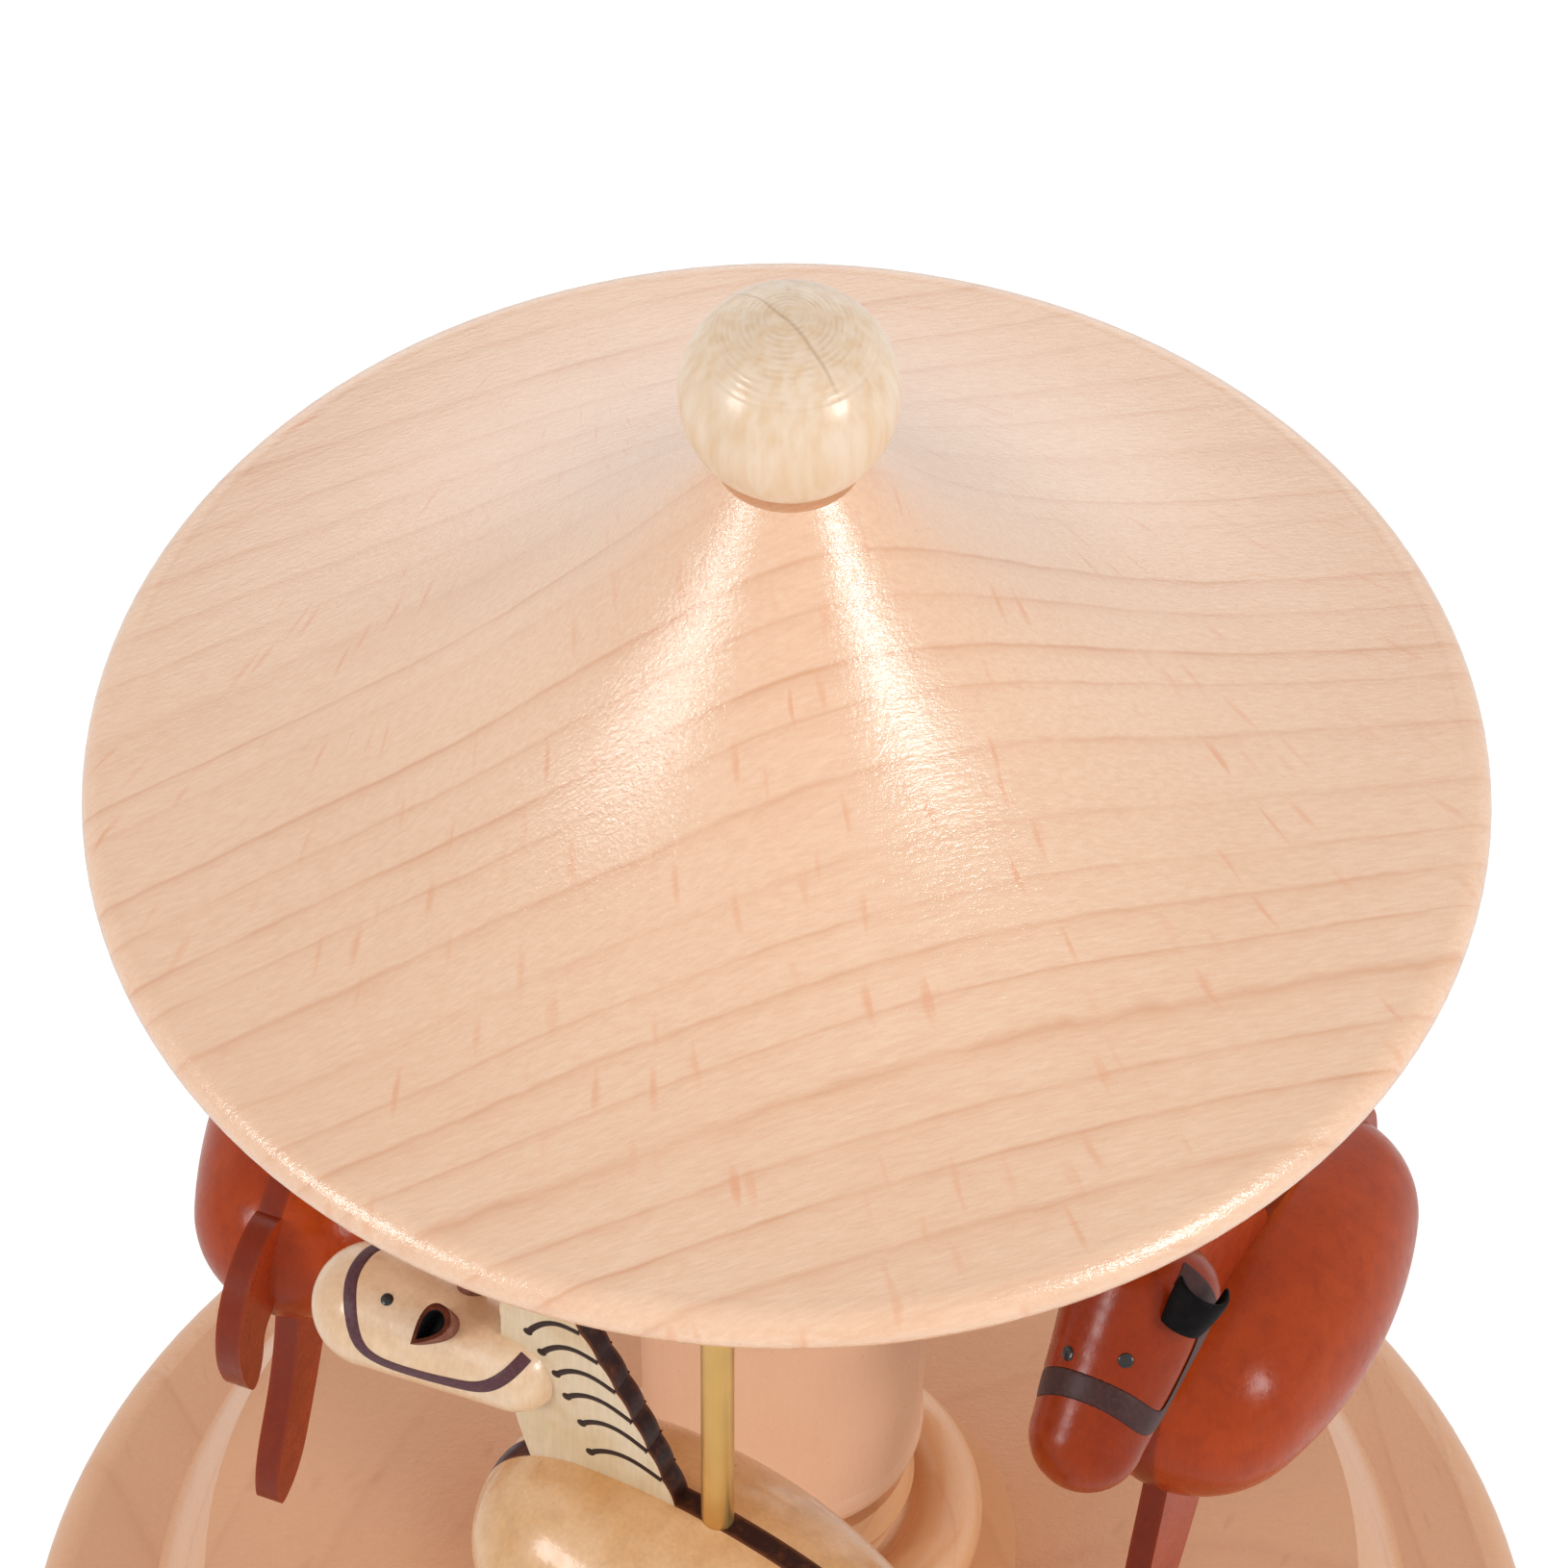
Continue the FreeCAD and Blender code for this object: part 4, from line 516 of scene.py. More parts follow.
def paint_tree(name, *inputs):
    """Geometry Nodes: a tree with its inputs, and the nearest place and outward way on its surface."""
    tree = bpy.data.node_groups.new(name, "GeometryNodeTree")
    tree.interface.new_socket("Geometry", in_out="OUTPUT", socket_type="NodeSocketGeometry")
    for label, kind in (*inputs, ("Surface", "Object"), ("Height", "Float"), ("Paint", "Material")):
        tree.interface.new_socket(label, in_out="INPUT", socket_type=f"NodeSocket{kind}")
    given = add(tree, "NodeGroupInput").outputs
    surface = add(tree, "GeometryNodeObjectInfo", {"Object": given["Surface"]}, transform_space="ORIGINAL")
    merged = add(tree, "GeometryNodeMergeByDistance", {"Geometry": surface.outputs["Geometry"],
                                                       "Distance": 1e-6})
    nearest = []
    for kind in ("GeometryNodeInputPosition", "GeometryNodeInputNormal"):
        inputs = {"Mesh": merged.outputs[0], "Value": add(tree, kind).outputs[0]}
        sampled = add(tree, "GeometryNodeSampleNearestSurface", inputs, data_type="FLOAT_VECTOR")
        nearest.append(sampled.outputs["Value"])
    return tree, given, nearest


def finish_paint(tree, shaped, given):
    """Ends a painted tree: real, smooth geometry in its paint."""
    real = add(tree, "GeometryNodeRealizeInstances", {"Geometry": shaped})
    smooth = add(tree, "GeometryNodeSetShadeSmooth", {"Geometry": real.outputs["Geometry"]})
    painted = add(tree, "GeometryNodeSetMaterial", {"Geometry": smooth.outputs["Geometry"],
                                                    "Material": given["Paint"]})
    add(tree, "NodeGroupOutput", {"Geometry": painted.outputs["Geometry"]})
    return tree


def stroke_tree():
    """Geometry Nodes: thick paint laid along a path on a surface, as a low rounded bead."""
    inputs = (("Path", "Geometry"), ("Half Width", "Float"), ("Step", "Float"))
    tree, given, (on_surface, outward) = paint_tree("painted_stroke", *inputs)
    path = add(tree, "GeometryNodeResampleCurve", {"Curve": given["Path"], "Length": given["Step"]},
               mode="LENGTH")
    laid = add(tree, "GeometryNodeSetPosition", {"Geometry": path.outputs["Curve"], "Position": on_surface})
    turned = add(tree, "GeometryNodeSetCurveNormal", {"Curve": laid.outputs["Geometry"], "Normal": outward},
                 mode="FREE")
    ring = add(tree, "GeometryNodeCurvePrimitiveCircle", {"Resolution": 12, "Radius": 1.0}, mode="RADIUS")
    shape = add(tree, "ShaderNodeCombineXYZ", {"X": given["Height"], "Y": given["Half Width"], "Z": 1.0})
    profile = add(tree, "GeometryNodeTransform", {"Geometry": ring.outputs["Curve"],
                                                  "Scale": shape.outputs[0]})
    bead = add(tree, "GeometryNodeCurveToMesh", {"Curve": turned.outputs["Curve"],
                                                 "Profile Curve": profile.outputs["Geometry"],
                                                 "Fill Caps": True})
    return finish_paint(tree, bead.outputs["Mesh"], given)


def dot_tree():
    """Geometry Nodes: drops of paint on a surface, one for each given point, as low round domes."""
    inputs = (("Places", "Geometry"), ("Radius", "Float"))
    tree, given, (on_surface, outward) = paint_tree("painted_dots", *inputs)
    laid = add(tree, "GeometryNodeSetPosition", {"Geometry": given["Places"], "Position": on_surface})
    points = add(tree, "GeometryNodeMeshToPoints", {"Mesh": laid.outputs["Geometry"], "Radius": 0.1 * MM})
    ball = add(tree, "GeometryNodeMeshUVSphere", {"Segments": 20, "Rings": 12, "Radius": 1.0})
    shape = add(tree, "ShaderNodeCombineXYZ", {"X": given["Radius"], "Y": given["Radius"],
                                               "Z": given["Height"]})
    drop = add(tree, "GeometryNodeTransform", {"Geometry": ball.outputs["Mesh"], "Scale": shape.outputs[0]})
    aim = add(tree, "FunctionNodeAlignRotationToVector", {"Vector": outward}, axis="Z")
    drops = add(tree, "GeometryNodeInstanceOnPoints", {"Points": points.outputs["Points"],
                                                       "Instance": drop.outputs["Geometry"],
                                                       "Rotation": aim.outputs["Rotation"]})
    return finish_paint(tree, drops.outputs["Instances"], given)


def grown(name, start, tree, **values):
    """Runs a Geometry Nodes tree on an object and gives back its result as a plain mesh piece."""
    bpy.context.scene.collection.objects.link(start)
    modifier = start.modifiers.new("nodes", "NODES")
    modifier.node_group = tree
    for socket in tree.interface.items_tree:
        key = socket.name.lower().replace(" ", "_")
        if socket.in_out == "INPUT" and key in values:
            modifier[socket.identifier] = values[key]
    bpy.context.view_layer.update()
    shaped = start.evaluated_get(bpy.context.evaluated_depsgraph_get())
    mesh = bpy.data.meshes.new_from_object(shaped)
    mesh.name = name
    start.modifiers.remove(modifier)
    bpy.data.objects.remove(start)
    if not mesh.polygons:
        raise RuntimeError(f"{name} came out empty")
    return as_piece(name, mesh)


def as_piece(name, mesh):
    piece = bpy.data.objects.new(name, mesh)
    bpy.context.scene.collection.objects.link(piece)
    return piece


def points_at(name, places):
    """An object that is nothing but points, for a Geometry Nodes tree to start from."""
    mesh = bpy.data.meshes.new(name)
    mesh.from_pydata(places, [], [])
    return bpy.data.objects.new(name, mesh)


def join_body(piece, body):
    """Hands a finished piece to the frame."""
    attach(piece, body)


def smooth_path(name, lines):
    """A curve object with one smooth spline per line of (point, half width share)."""
    curve = bpy.data.curves.new(name, "CURVE")
    curve.dimensions = "3D"
    curve.resolution_u = 12
    for line in lines:
        spline = curve.splines.new("NURBS")
        spline.points.add(len(line) - 1)
        for point, (place, share) in zip(spline.points, line):
            point.co = (*place, 1.0)
            point.radius = share
        spline.order_u = 4
        spline.use_endpoint_u = True
    return bpy.data.objects.new(name, curve)


def head_ways(head):
    """The head's own directions in its horse's frame: back from its nose, up from its face, to its left."""
    tilt = math.radians(head["tilt"])
    back = Vector((-math.cos(tilt), 0.0, math.sin(tilt)))
    up = Vector((math.sin(tilt), 0.0, math.cos(tilt)))
    return back, up, Vector((0.0, 1.0, 0.0))


def head_point(number, back_mm, angle_deg):
    """A point on a horse's head: so far back from its nose, at an angle from its top towards its left."""
    head = HEADS[colour_of(number)]
    back, up, left = head_ways(head)
    nose = Vector((head["place"][0], 0.0, head["place"][1])) - back * (head["length"] * HEAD_FRONT_SHARE)
    straight_from, straight_to = head["nose_r"], head["length"] - head["corner"]
    if back_mm < straight_from:
        radius = math.sqrt(max(head["nose_r"] ** 2 - (straight_from - back_mm) ** 2, 0.0))
    elif back_mm < straight_to:
        share = (back_mm - straight_from) / (straight_to - straight_from)
        radius = head["nose_r"] + (head["cheek_r"] - head["nose_r"]) * share
    else:
        past = min(back_mm - straight_to, head["corner"])
        radius = head["cheek_r"] - head["corner"] + math.sqrt(head["corner"] ** 2 - past ** 2)
    angle = math.radians(angle_deg)
    ray = up * math.cos(angle) + left * math.sin(angle)
    local = nose + back * back_mm + ray * radius
    return horse_place(number) @ (local * MM)


# The painted bridle: (millimetres back from the nose, degrees from the top of the head) and half width share.
NOSEBANDS = {
    "pale": [((4.05, 0.0), 1.0), ((4.15, 20.0), 1.0), ((4.75, 38.0), 1.0), ((5.4, 58.0), 1.0),
             ((6.15, 78.0), 1.0), ((7.0, 88.0), 0.9), ((8.3, 93.0), 0.62), ((10.0, 94.0), 0.55),
             ((12.2, 92.0), 0.6), ((14.2, 89.0), 0.8), ((16.2, 84.0), 1.15), ((17.7, 68.0), 1.5),
             ((18.6, 50.0), 1.6), ((19.0, 36.0), 1.5), ((19.15, 29.0), 1.0), ((19.2, 26.0), 0.3)],
    "brown": [((8.3, 0.0), 1.0), ((8.3, 22.0), 1.0), ((7.9, 45.0), 1.0), ((7.35, 66.0), 1.0),
              ((7.2, 84.0), 0.9), ((8.0, 97.0), 0.45), ((10.5, 97.0), 0.3), ((13.5, 94.0), 0.28),
              ((15.5, 88.0), 0.35), ((17.2, 76.0), 0.5), ((18.2, 60.0), 0.55), ((18.8, 44.0), 0.5),
              ((18.9, 40.0), 0.2)],
}
BAND_HALF_WIDTH = {"pale": 0.52, "brown": 1.08}
EYES = {
    "pale": [(7.5, 26.0), (7.5, -26.0)],
    "brown": [(11.4, 23.0), (10.1, -29.0)],
}
EYE_RADIUS = {"pale": 0.5, "brown": 0.6}

# The brushed mane on a pale neck: each stroke starts thick at the neck and thins out at a notch of the mane.
MANE_STARTS = [(17.98, 15.2), (16.82, 13.41), (15.61, 11.51), (14.73, 9.28), (13.48, 6.8), (12.77, 3.65)]
MANE_NOTCHES = [(13.55, 17.79), (11.99, 15.14), (10.52, 12.44), (9.13, 9.69), (7.83, 6.91), (6.62, 4.08)]

# Along a mane stroke: share of its run, rise above the straight line in millimetres, and half width share.
STROKE_PROFILE = ((-0.035, -0.05, 0.25), (-0.02, -0.03, 0.85), (0.02, 0.03, 1.1), (0.06, 0.25, 0.95),
                  (0.12, 0.55, 0.5), (0.3, 1.1, 0.42), (0.55, 1.15, 0.4), (0.8, 0.6, 0.36), (0.97, 0.05, 0.3),
                  (1.0, 0.0, 0.12))


def shell_mesh(name, built, *materials):
    """A bmesh turned outwards and made a mesh in its materials."""
    bmesh.ops.recalc_face_normals(built, faces=built.faces)
    mesh = bpy.data.meshes.new(name)
    built.to_mesh(mesh)
    built.free()
    for material in materials:
        mesh.materials.append(material)
    return mesh


def leather_ear(name, base, axis, front, size, material):
    """One ear: a strip of leather, rolled, open to the front, its end hollow between two tips."""
    across_count, along_count = 20, 8
    width, pinch = size["width"], size["pinch"]
    # How far the foot of the strip lies under the head's surface, and how much narrower it is there.
    sunk, foot_share = 0.8, 0.72
    side = axis.cross(front).normalized()
    front = side.cross(axis).normalized()
    built = bmesh.new()
    rows = []
    for j in range(along_count + 1):
        along = j / along_count
        row = []
        for i in range(across_count + 1):
            across = 2 * i / across_count - 1
            turn = across * math.radians(size["span"]) / 2
            flare = foot_share + (1 - foot_share) * math.sin(along * math.pi / 2)
            out_back = -math.cos(turn) * width * flare
            out_side = math.sin(turn) * width * flare * (1 - 0.35 * pinch * abs(across) ** 3)
            out_back += pinch * width * 0.55 * abs(across) ** 4
            up = size["reach"] * along * (1 + size["horn"] * (abs(across) ** 2.5 - 0.35)) - sunk
            place = base + (front * out_back + side * out_side + axis * up) * MM
            row.append(built.verts.new(place))
        rows.append(row)
    for j in range(along_count):
        for i in range(across_count):
            built.faces.new((rows[j][i], rows[j][i + 1], rows[j + 1][i + 1], rows[j + 1][i]))
    start = bpy.data.objects.new(name, shell_mesh(name, built, material))
    bpy.context.scene.collection.objects.link(start)
    wall = start.modifiers.new("wall", "SOLIDIFY")
    wall.thickness = size["wall"] * MM
    wall.offset = 0.0
    rounding = start.modifiers.new("rounding", "SUBSURF")
    rounding.levels = 1
    rounding.render_levels = 1
    bpy.context.view_layer.update()
    shaped = start.evaluated_get(bpy.context.evaluated_depsgraph_get())
    result = bpy.data.meshes.new_from_object(shaped)
    result.name = name
    bpy.data.objects.remove(start)
    for face in result.polygons:
        face.use_smooth = True
    return as_piece(name, result)


def rolled_ear(name, base, axis, point_way, size, materials):
    """One ear rolled shut: a teardrop cup of leather, pointed at one end, open and black inside."""
    count = 28
    length, width, reach, wall = size["length"], size["width"], size["reach"], size["wall"]
    side = axis.cross(point_way).normalized()
    point_way = side.cross(axis).normalized()
    thin_long, thin_wide = 1 - 2.6 * wall / length, 1 - 2 * wall / width
    # Each ring: its share of the length and the width, its height, and the material of the faces above it.
    rings = ((0.8, 0.85, -0.9, 0), (0.95, 1.0, reach * 0.5, 0), (1.0, 1.0, reach, 2),
             (thin_long, thin_wide, reach, 1), (thin_long * 0.95, thin_wide * 0.9, reach * 0.35, 1))
    built = bmesh.new()
    rows = []
    for long_share, wide_share, height in (ring[:3] for ring in rings):
        row = []
        for i in range(count):
            turn = 2 * math.pi * i / count
            ahead = math.cos(turn) * length / 2 * long_share
            aside = math.sin(turn) * math.sin(turn / 2) ** 1.2 * width * 0.62 * wide_share
            lift = height - 0.12 * ahead if height > 0 else height
            row.append(built.verts.new(base + (point_way * ahead + side * aside + axis * lift) * MM))
        rows.append(row)
    for (low, high), ring in zip(zip(rows, rows[1:]), rings):
        for i in range(count):
            face = built.faces.new((low[i - 1], low[i], high[i], high[i - 1]))
            face.material_index = ring[3]
    built.faces.new(rows[0]).material_index = 0
    built.faces.new(rows[-1]).material_index = 1
    mesh = shell_mesh(name, built, *materials)
    for face in mesh.polygons:
        face.use_smooth = True
    return as_piece(name, mesh)


class WoodFinish(bpy.types.PropertyGroup):
    """Sizes and gloss of the turned wood."""

    ring_gap: bpy.props.FloatProperty(
        name="Ring gap", description="Typical width of one growth ring on the roof", default=4.4 * MM,
        min=0.5 * MM, unit="LENGTH", precision=4)
    gloss: bpy.props.FloatProperty(
        name="Lacquer", description="How much clear lacquer lies on the wood", default=0.55, min=0.0, max=1.0,
        subtype="FACTOR")
    roof_gloss: bpy.props.FloatProperty(
        name="Roof lacquer", description="How much clear lacquer lies on the roof", default=1.0, min=0.0,
        max=1.0, subtype="FACTOR")


class HorsePaint(bpy.types.PropertyGroup):
    """Sizes of the horses' brushwork."""

    stroke_half: bpy.props.FloatProperty(
        name="Mane stroke", description="Half the width of a mane stroke where it starts", default=0.27 * MM,
        min=0.1 * MM, unit="LENGTH", precision=5)
    drop_radius: bpy.props.FloatProperty(
        name="Mane drop", description="Radius of the drop of paint that starts a mane stroke",
        default=0.4 * MM, min=0.1 * MM, unit="LENGTH", precision=5)
    paint_height: bpy.props.FloatProperty(
        name="Paint height", description="How far the paint stands off the wood", default=0.06 * MM,
        min=0.02 * MM, unit="LENGTH", precision=5)
    eye_height: bpy.props.FloatProperty(
        name="Eye height", description="How far an eye stands off the head", default=0.14 * MM, min=0.02 * MM,
        unit="LENGTH", precision=5)


class StudioLight(bpy.types.PropertyGroup):
    """The small studio round the music box."""

    side_power: bpy.props.FloatProperty(
        name="Side lamps", description="Power of each soft box", default=3.3, min=0.0, unit="POWER")
    back_power: bpy.props.FloatProperty(
        name="Back lamp", description="Power of the bright paper behind the object", default=2.3, min=0.0,
        unit="POWER")
    sky: bpy.props.FloatProperty(
        name="Room light", description="Brightness of the white room on the object", default=0.68, min=0.0,
        max=1.5)
    lamp_distance: bpy.props.FloatProperty(
        name="Lamp distance", description="From the object to each soft box", default=1.0, min=0.2,
        unit="LENGTH")


class CAROUSEL_OT_turned_wood(bpy.types.Operator):
    """Gives the roof, ball, column, platform and base their lacquered wood"""

    bl_idname = "carousel.turned_wood"
    bl_label = "Turned wood"

    def execute(self, context):
        finish = context.scene.carousel_wood
        woods = {node: beech(f"lacquered_beech_{label}", coat=finish.gloss, **TURNED_WOODS[node])
                 for node, label in (("turning_platform", "platform"), ("base_body", "base"),
                                     ("column", "column"), ("column_base", "column_base"))}
        woods["roof"] = beech("lacquered_beech_roof", ring_gap=finish.ring_gap / MM, coat=finish.roof_gloss,
                              **TURNED_WOODS["roof"])
        ball_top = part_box("roof_ball")[1].z / MM
        woods["roof_ball"] = turned_ball_wood("lacquered_maple_ball", "#E8D0B6", "#E0BF9A", "#B89878",
                                              ball_top)
        dowel = birch_plywood("birch_dowel", "#E6CFA4", "#CDB083")
        for node in ("column_foot_dowel", "column_top_dowel", "ball_dowel"):
            woods[node] = dowel
        for node, material in woods.items():
            dress(node, material)
        return {"FINISHED"}


class CAROUSEL_OT_horses(bpy.types.Operator):
    """Gives the four horses and their poles their stain, paint and metal"""

    bl_idname = "carousel.horses"
    bl_label = "Horses and poles"

    def execute(self, context):
        pole = metal("brushed_brass_pole", "#DDB46E", 0.42, (0.15, 0.15, 6.0), 0.08)
        for number in range(1, HORSE_COUNT + 1):
            dress(f"horse_{number}_pole", pole)
            made = {}
            for part, (label, *stain) in STAINS[colour_of(number)].items():
                made[part] = stained_birch(f"{label}_{number}", number, *stain)
            for node, part in (("plate", "plate"), ("body_left", "body"), ("body_right", "body"),
                               ("head", "head")):
                dress(f"horse_{number}_{node}", made[part])
        return {"FINISHED"}


class CAROUSEL_OT_ears(bpy.types.Operator):
    """Makes the horses' rolled leather ears"""

    bl_idname = "carousel.ears"
    bl_label = "Leather ears"

    def execute(self, context):
        black = leather("black_leather", "#0D0B0C", "#1A1719", 0.5)
        suede = leather("worn_leather", "#7A4C3E", "#9A7060", 0.7)
        cut = leather("leather_cut_edge", "#4E2418", "#6E3A24", 0.8)
        for number in range(1, HORSE_COUNT + 1):
            colour = colour_of(number)
            size = EARS[colour]
            facing = horse_place(number).to_3x3()
            back, up, left = (facing @ way for way in head_ways(HEADS[colour]))
            for hand, which in ((1, "left"), (-1, "right")):
                name = f"horse_{number}_ear_{which}"
                base = head_point(number, size["back"], hand * size["aside"])
                turn = math.radians(size["aside"])
                out = up * math.cos(turn) + left * (hand * math.sin(turn))
                if colour == "pale":
                    down = left * (hand * math.cos(turn)) - up * math.sin(turn)
                    ear = rolled_ear(name, base, out, down * 0.87 - back * 0.5, size, (suede, black, cut))
                else:
                    axis = (back * 0.95 + out * 0.25).normalized()
                    front = (out - axis * out.dot(axis)).normalized() * -1.0
                    ear = leather_ear(name, base, axis, front, size, black)
                join_body(ear, "carousel")
                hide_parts(f"horse_{number}_ears")
        return {"FINISHED"}


class CAROUSEL_OT_bridles(bpy.types.Operator):
    """Paints the nosebands and cheek straps on the horses' heads"""

    bl_idname = "carousel.bridles"
    bl_label = "Painted bridles"

    def execute(self, context):
        height = context.scene.carousel_paint.paint_height
        tree = stroke_tree()
        paints = {"pale": stain_paint("umber_paint_pale", "#54343A"),
                  "brown": stain_paint("umber_paint_brown", "#3E2422")}
        for number in range(1, HORSE_COUNT + 1):
            colour = colour_of(number)
            half = [(head_point(number, *place), share) for place, share in NOSEBANDS[colour]]
            skew = 0.5 if colour == "brown" else 0.0
            other = [(head_point(number, place[0] - skew * min(1.0, place[1] / 60), -place[1]), share)
                     for place, share in NOSEBANDS[colour]]
            whole = list(reversed(other[1:])) + half
            start = smooth_path(f"bridle_path_{number}", [whole])
            piece = grown(f"horse_{number}_bridle", start, tree,
                          surface=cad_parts[f"horse_{number}_head"],
                          half_width=BAND_HALF_WIDTH[colour] * MM, height=height, step=0.3 * MM,
                          paint=paints[colour])
            join_body(piece, "carousel")
        return {"FINISHED"}


class CAROUSEL_OT_eyes(bpy.types.Operator):
    """Puts a drop of black paint on each horse's head for each eye"""

    bl_idname = "carousel.eyes"
    bl_label = "Painted eyes"

    def execute(self, context):
        tree = dot_tree()
        paint = stain_paint("black_eye_enamel", "#15110F", 0.22, 0.6)
        for number in range(1, HORSE_COUNT + 1):
            colour = colour_of(number)
            places = [head_point(number, *place) for place in EYES[colour]]
            piece = grown(f"horse_{number}_eyes", points_at(f"eye_places_{number}", places), tree,
                          surface=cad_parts[f"horse_{number}_head"], radius=EYE_RADIUS[colour] * MM,
                          height=context.scene.carousel_paint.eye_height, paint=paint)
            join_body(piece, "carousel")
        return {"FINISHED"}


class CAROUSEL_OT_manes(bpy.types.Operator):
    """Brushes the mane's strokes on both sides of the pale horses' necks"""

    bl_idname = "carousel.manes"
    bl_label = "Brushed manes"

    def execute(self, context):
        paint = context.scene.carousel_paint
        tree = stroke_tree()
        dots = dot_tree()
        umber = stain_paint("umber_mane_paint", "#2A130C")
        for number in PALE_HORSES:
            place = horse_place(number)
            lines = []
            for side in (PLATE_HALF, -PLATE_HALF):
                for start, notch in zip(MANE_STARTS, MANE_NOTCHES):
                    lines.append(mane_stroke(place, start, notch, side))
            piece = grown(f"horse_{number}_mane_strokes", smooth_path(f"mane_paths_{number}", lines), tree,
                          surface=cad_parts[f"horse_{number}_plate"], half_width=paint.stroke_half,
                          height=paint.paint_height, step=0.12 * MM, paint=umber)
            join_body(piece, "carousel")
            starts = [place @ (Vector((x, side, z)) * MM) for side in (PLATE_HALF, -PLATE_HALF)
                      for x, z in MANE_STARTS]
            drops = grown(f"horse_{number}_mane_drops", points_at(f"mane_starts_{number}", starts), dots,
                          surface=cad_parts[f"horse_{number}_plate"], radius=paint.drop_radius,
                          height=paint.paint_height * 1.2, paint=umber)
            join_body(drops, "carousel")
        return {"FINISHED"}


def mane_stroke(place, start, notch, side):
    """One stroke's points and widths: a thick start, an arch up and back, and a thin tail to the notch."""
    run = Vector((notch[0] - start[0], notch[1] - start[1]))
    points = []
    for share, rise, width in STROKE_PROFILE:
        s = start[0] + run.x * share
        z = start[1] + run.y * share + rise
        points.append((place @ (Vector((s, side, z)) * MM), width))
    return points


class CAROUSEL_OT_movement(bpy.types.Operator):
    """Gives the musical movement, screws, cover, washer and feet their metals, board, nylon and felt"""

    bl_idname = "carousel.movement"
    bl_label = "Movement and underside"

    def execute(self, context):
        brass = metal("turned_brass", "#D9B662", 0.28, (1.5, 1.5, 0.1))
        steel = metal("nickelled_steel", "#C2C4C6", 0.25, (0.1, 3.0, 0.1))
        blued = metal("tempered_spring_steel", "#8E9298", 0.3, (0.1, 4.0, 0.1))
        plated = metal("zinc_plated_steel", "#B9BCC0", 0.34, (0.2, 3.0, 0.2))
        cast = metal("die_cast_zinc", "#A6A8AB", 0.5, (0.5, 0.5, 0.5), 0.1, 0.02)
        materials = {
            "bottom_cover": birch_plywood("birch_plywood_cover", "#E3C794", "#C9A66E"),
            "felt_feet": felt("green_felt", "#4A5A46"),
            "slip_washer": moulded_nylon("natural_nylon", "#EDEAE0"),
            "movement_frame": cast,
        }
        for node in ("cover_screws", "frame_screws", "bridge_screws", "comb_screws", "hub_screws",
                     "drive_arbor", "cylinder_arbor", "cylinder_pinion", "second_arbor", "fly_arbor"):
            materials[node] = steel
        for node in ("arbor_bush", "platform_hub", "great_wheel", "spring_barrel", "tune_cylinder",
                     "cylinder_wheel", "second_wheel"):
            materials[node] = brass
        for node in ("mainspring", "comb"):
            materials[node] = blued
        for node in ("spring_bridge", "fly_fan"):
            materials[node] = plated
        for node, material in materials.items():
            dress(node, material)
        return {"FINISHED"}


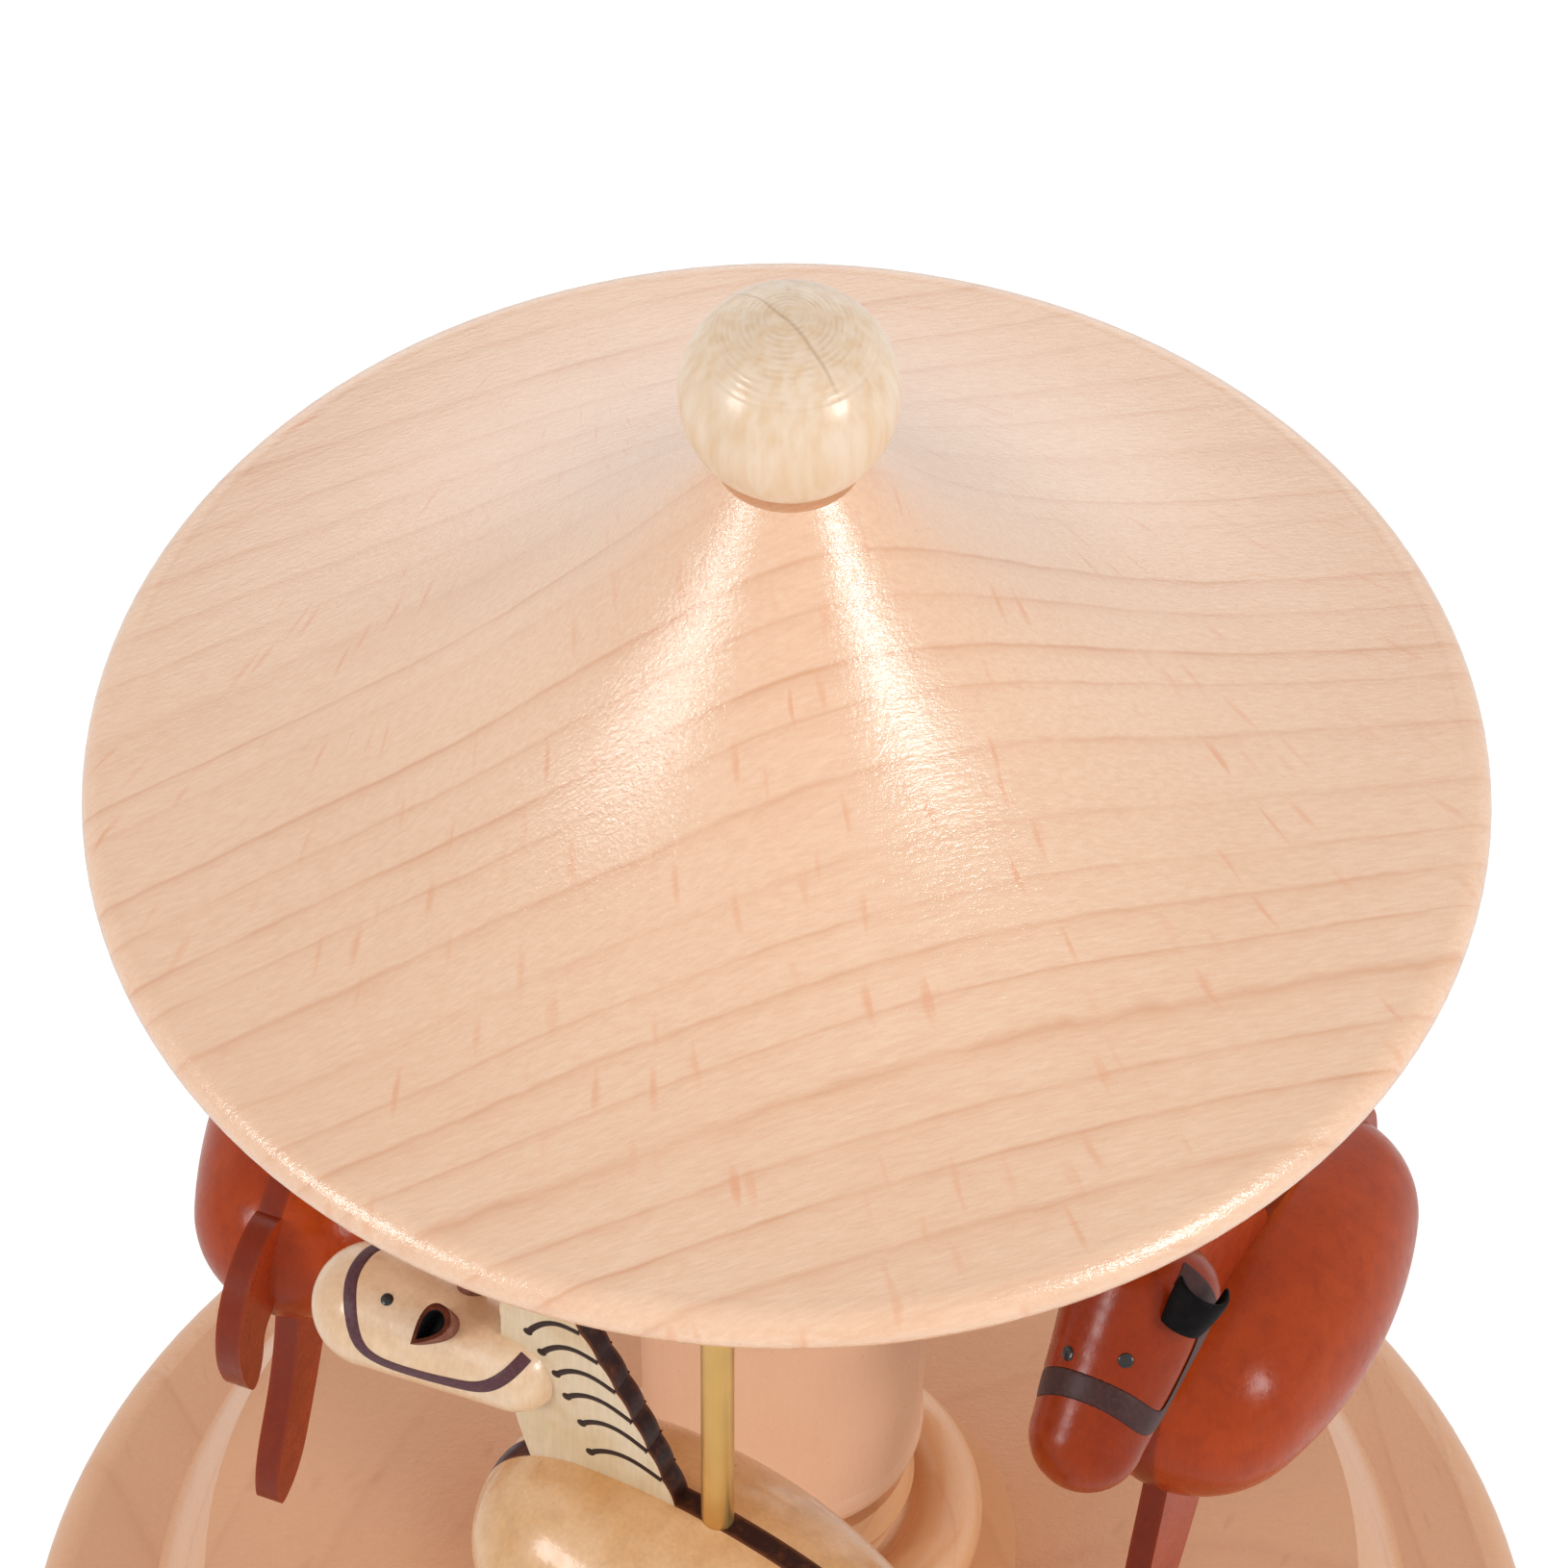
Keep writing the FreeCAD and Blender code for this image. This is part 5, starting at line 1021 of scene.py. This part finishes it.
class CAROUSEL_OT_studio(bpy.types.Operator):
    """Builds the white floor, the lamps, the room light and the camera"""

    bl_idname = "carousel.studio"
    bl_label = "Studio"

    def execute(self, context):
        scene = context.scene
        studio = scene.carousel_studio

        # A white sheet: it takes the shadow, and shines a little for the camera alone, to read as white.
        material, tree, where = new_material("white_paper_floor")
        tooth = add(tree, "ShaderNodeTexNoise", {"Vector": where, "Scale": 1 / 1.5, "Detail": 2.0}).outputs[0]
        paper = shaded(tree, linear("#F7F7F7"), tooth, (0.0, 1.0), (0.98, 1.0))
        sheet = add(tree, "ShaderNodeBsdfDiffuse", {"Color": paper})
        seen = add(tree, "ShaderNodeLightPath").outputs["Is Camera Ray"]
        shine = add(tree, "ShaderNodeMath", {0: seen, 1: 0.34}, operation="MULTIPLY").outputs[0]
        glow = add(tree, "ShaderNodeEmission", {"Color": (1.0, 1.0, 1.0, 1.0), "Strength": shine})
        both = add(tree, "ShaderNodeAddShader", {0: sheet.outputs[0], 1: glow.outputs[0]})
        add(tree, "ShaderNodeOutputMaterial", {"Surface": both.outputs[0]})
        floor_mesh = bpy.data.meshes.new("floor")
        corners = [(FLOOR_REACH * x, FLOOR_REACH * y, 0) for x, y in ((-1, -1), (1, -1), (1, 1), (-1, 1))]
        floor_mesh.from_pydata(corners, [], [(0, 1, 2, 3)])
        floor_mesh.materials.append(material)
        floor = as_piece("floor", floor_mesh)

        # The room: an even white that mirrors show at full strength and that lights the object a little less.
        world = bpy.data.worlds.new("white_room")
        world.use_nodes = True
        world.node_tree.nodes.clear()
        tree = world.node_tree
        path = add(tree, "ShaderNodeLightPath").outputs
        mirrored = add(tree, "ShaderNodeMath", {0: path["Is Glossy Ray"], 1: path["Is Transmission Ray"]},
                       operation="MAXIMUM").outputs[0]
        direct = add(tree, "ShaderNodeMath", {0: path["Is Camera Ray"], 1: mirrored},
                     operation="MAXIMUM").outputs[0]
        strength = add(tree, "ShaderNodeMapRange", {"Value": direct, "To Min": studio.sky,
                                                    "To Max": 1.0}).outputs[0]
        light = add(tree, "ShaderNodeBackground", {"Color": (1.0, 1.0, 1.0, 1.0), "Strength": strength})
        add(tree, "ShaderNodeOutputWorld", {"Surface": light.outputs[0]})
        scene.world = world

        # Two low soft boxes, left and right of the camera, whose shine the roof and the ball show, and a
        # bright sheet behind that pales every edge seen at a slant.
        target = Vector(LAMP_TARGET)
        lamps = [(name, studio.side_power, *values) for name, values in SIDE_LAMPS.items()]
        for name, power, azimuth, elevation, size, share in (*lamps, ("back", studio.back_power, *BACK_LAMP)):
            turn, rise = math.radians(azimuth), math.radians(elevation)
            way = Vector((math.sin(turn) * math.cos(rise), -math.cos(turn) * math.cos(rise), math.sin(rise)))
            lamp = bpy.data.lights.new(f"soft_box_{name}", "AREA")
            lamp.shape = "SQUARE"
            lamp.size = size
            lamp.energy = power * share
            box = bpy.data.objects.new(lamp.name, lamp)
            box.location = target + way * studio.lamp_distance
            box.rotation_euler = way.to_track_quat("Z", "Y").to_euler()
            scene.collection.objects.link(box)

        # The camera fitted to the photograph's ellipses.
        pitch = math.radians(CAMERA_PITCH_DEG)
        yaw = math.radians(CAMERA_YAW_DEG)
        roll = math.radians(CAMERA_ROLL_DEG)
        ahead = Vector((math.sin(yaw) * math.cos(pitch), math.cos(yaw) * math.cos(pitch), -math.sin(pitch)))
        level = Vector((math.cos(yaw), -math.sin(yaw), 0.0))
        above = level.cross(ahead)
        right = level * math.cos(roll) + above * math.sin(roll)
        up = above * math.cos(roll) - level * math.sin(roll)
        camera = bpy.data.cameras.new("camera")
        camera.sensor_width = CAMERA_SENSOR_MM
        camera.lens = CAMERA_LENS_MM
        camera.clip_start = CAMERA_CLIP_START
        view = bpy.data.objects.new("camera", camera)
        turn = Matrix((right, up, -ahead)).transposed()
        view.matrix_world = Matrix.Translation(CAMERA_PLACE) @ turn.to_4x4()
        scene.collection.objects.link(view)
        scene.camera = view
        scene.view_settings.view_transform = "Standard"
        return {"FINISHED"}


STEPS = (CAROUSEL_OT_turned_wood, CAROUSEL_OT_horses, CAROUSEL_OT_ears, CAROUSEL_OT_bridles, CAROUSEL_OT_eyes,
         CAROUSEL_OT_manes, CAROUSEL_OT_movement, CAROUSEL_OT_studio)


class CAROUSEL_PT_panel(bpy.types.Panel):
    """Lists the carousel's pieces in the sidebar"""

    bl_idname = "CAROUSEL_PT_panel"
    bl_label = "Carousel music box"
    bl_space_type = "VIEW_3D"
    bl_region_type = "UI"
    bl_category = "Carousel"

    def draw(self, context):
        for step in STEPS:
            self.layout.operator(step.bl_idname)
        scene = context.scene
        for group in (scene.carousel_wood, scene.carousel_paint, scene.carousel_studio):
            for name in group.__annotations__:
                self.layout.prop(group, name)


CLASSES = (WoodFinish, HorsePaint, StudioLight, *STEPS, CAROUSEL_PT_panel)


def register():
    for cls in CLASSES:
        bpy.utils.register_class(cls)
    bpy.types.Scene.carousel_wood = bpy.props.PointerProperty(type=WoodFinish)
    bpy.types.Scene.carousel_paint = bpy.props.PointerProperty(type=HorsePaint)
    bpy.types.Scene.carousel_studio = bpy.props.PointerProperty(type=StudioLight)


def unregister():
    del bpy.types.Scene.carousel_studio
    del bpy.types.Scene.carousel_paint
    del bpy.types.Scene.carousel_wood
    for cls in reversed(CLASSES):
        bpy.utils.unregister_class(cls)


def main():
    register()
    bpy.ops.carousel.turned_wood()
    bpy.ops.carousel.horses()
    bpy.ops.carousel.ears()
    bpy.ops.carousel.bridles()
    bpy.ops.carousel.eyes()
    bpy.ops.carousel.manes()
    bpy.ops.carousel.movement()
    bpy.ops.carousel.studio()


if __name__ == "__main__":
    main()
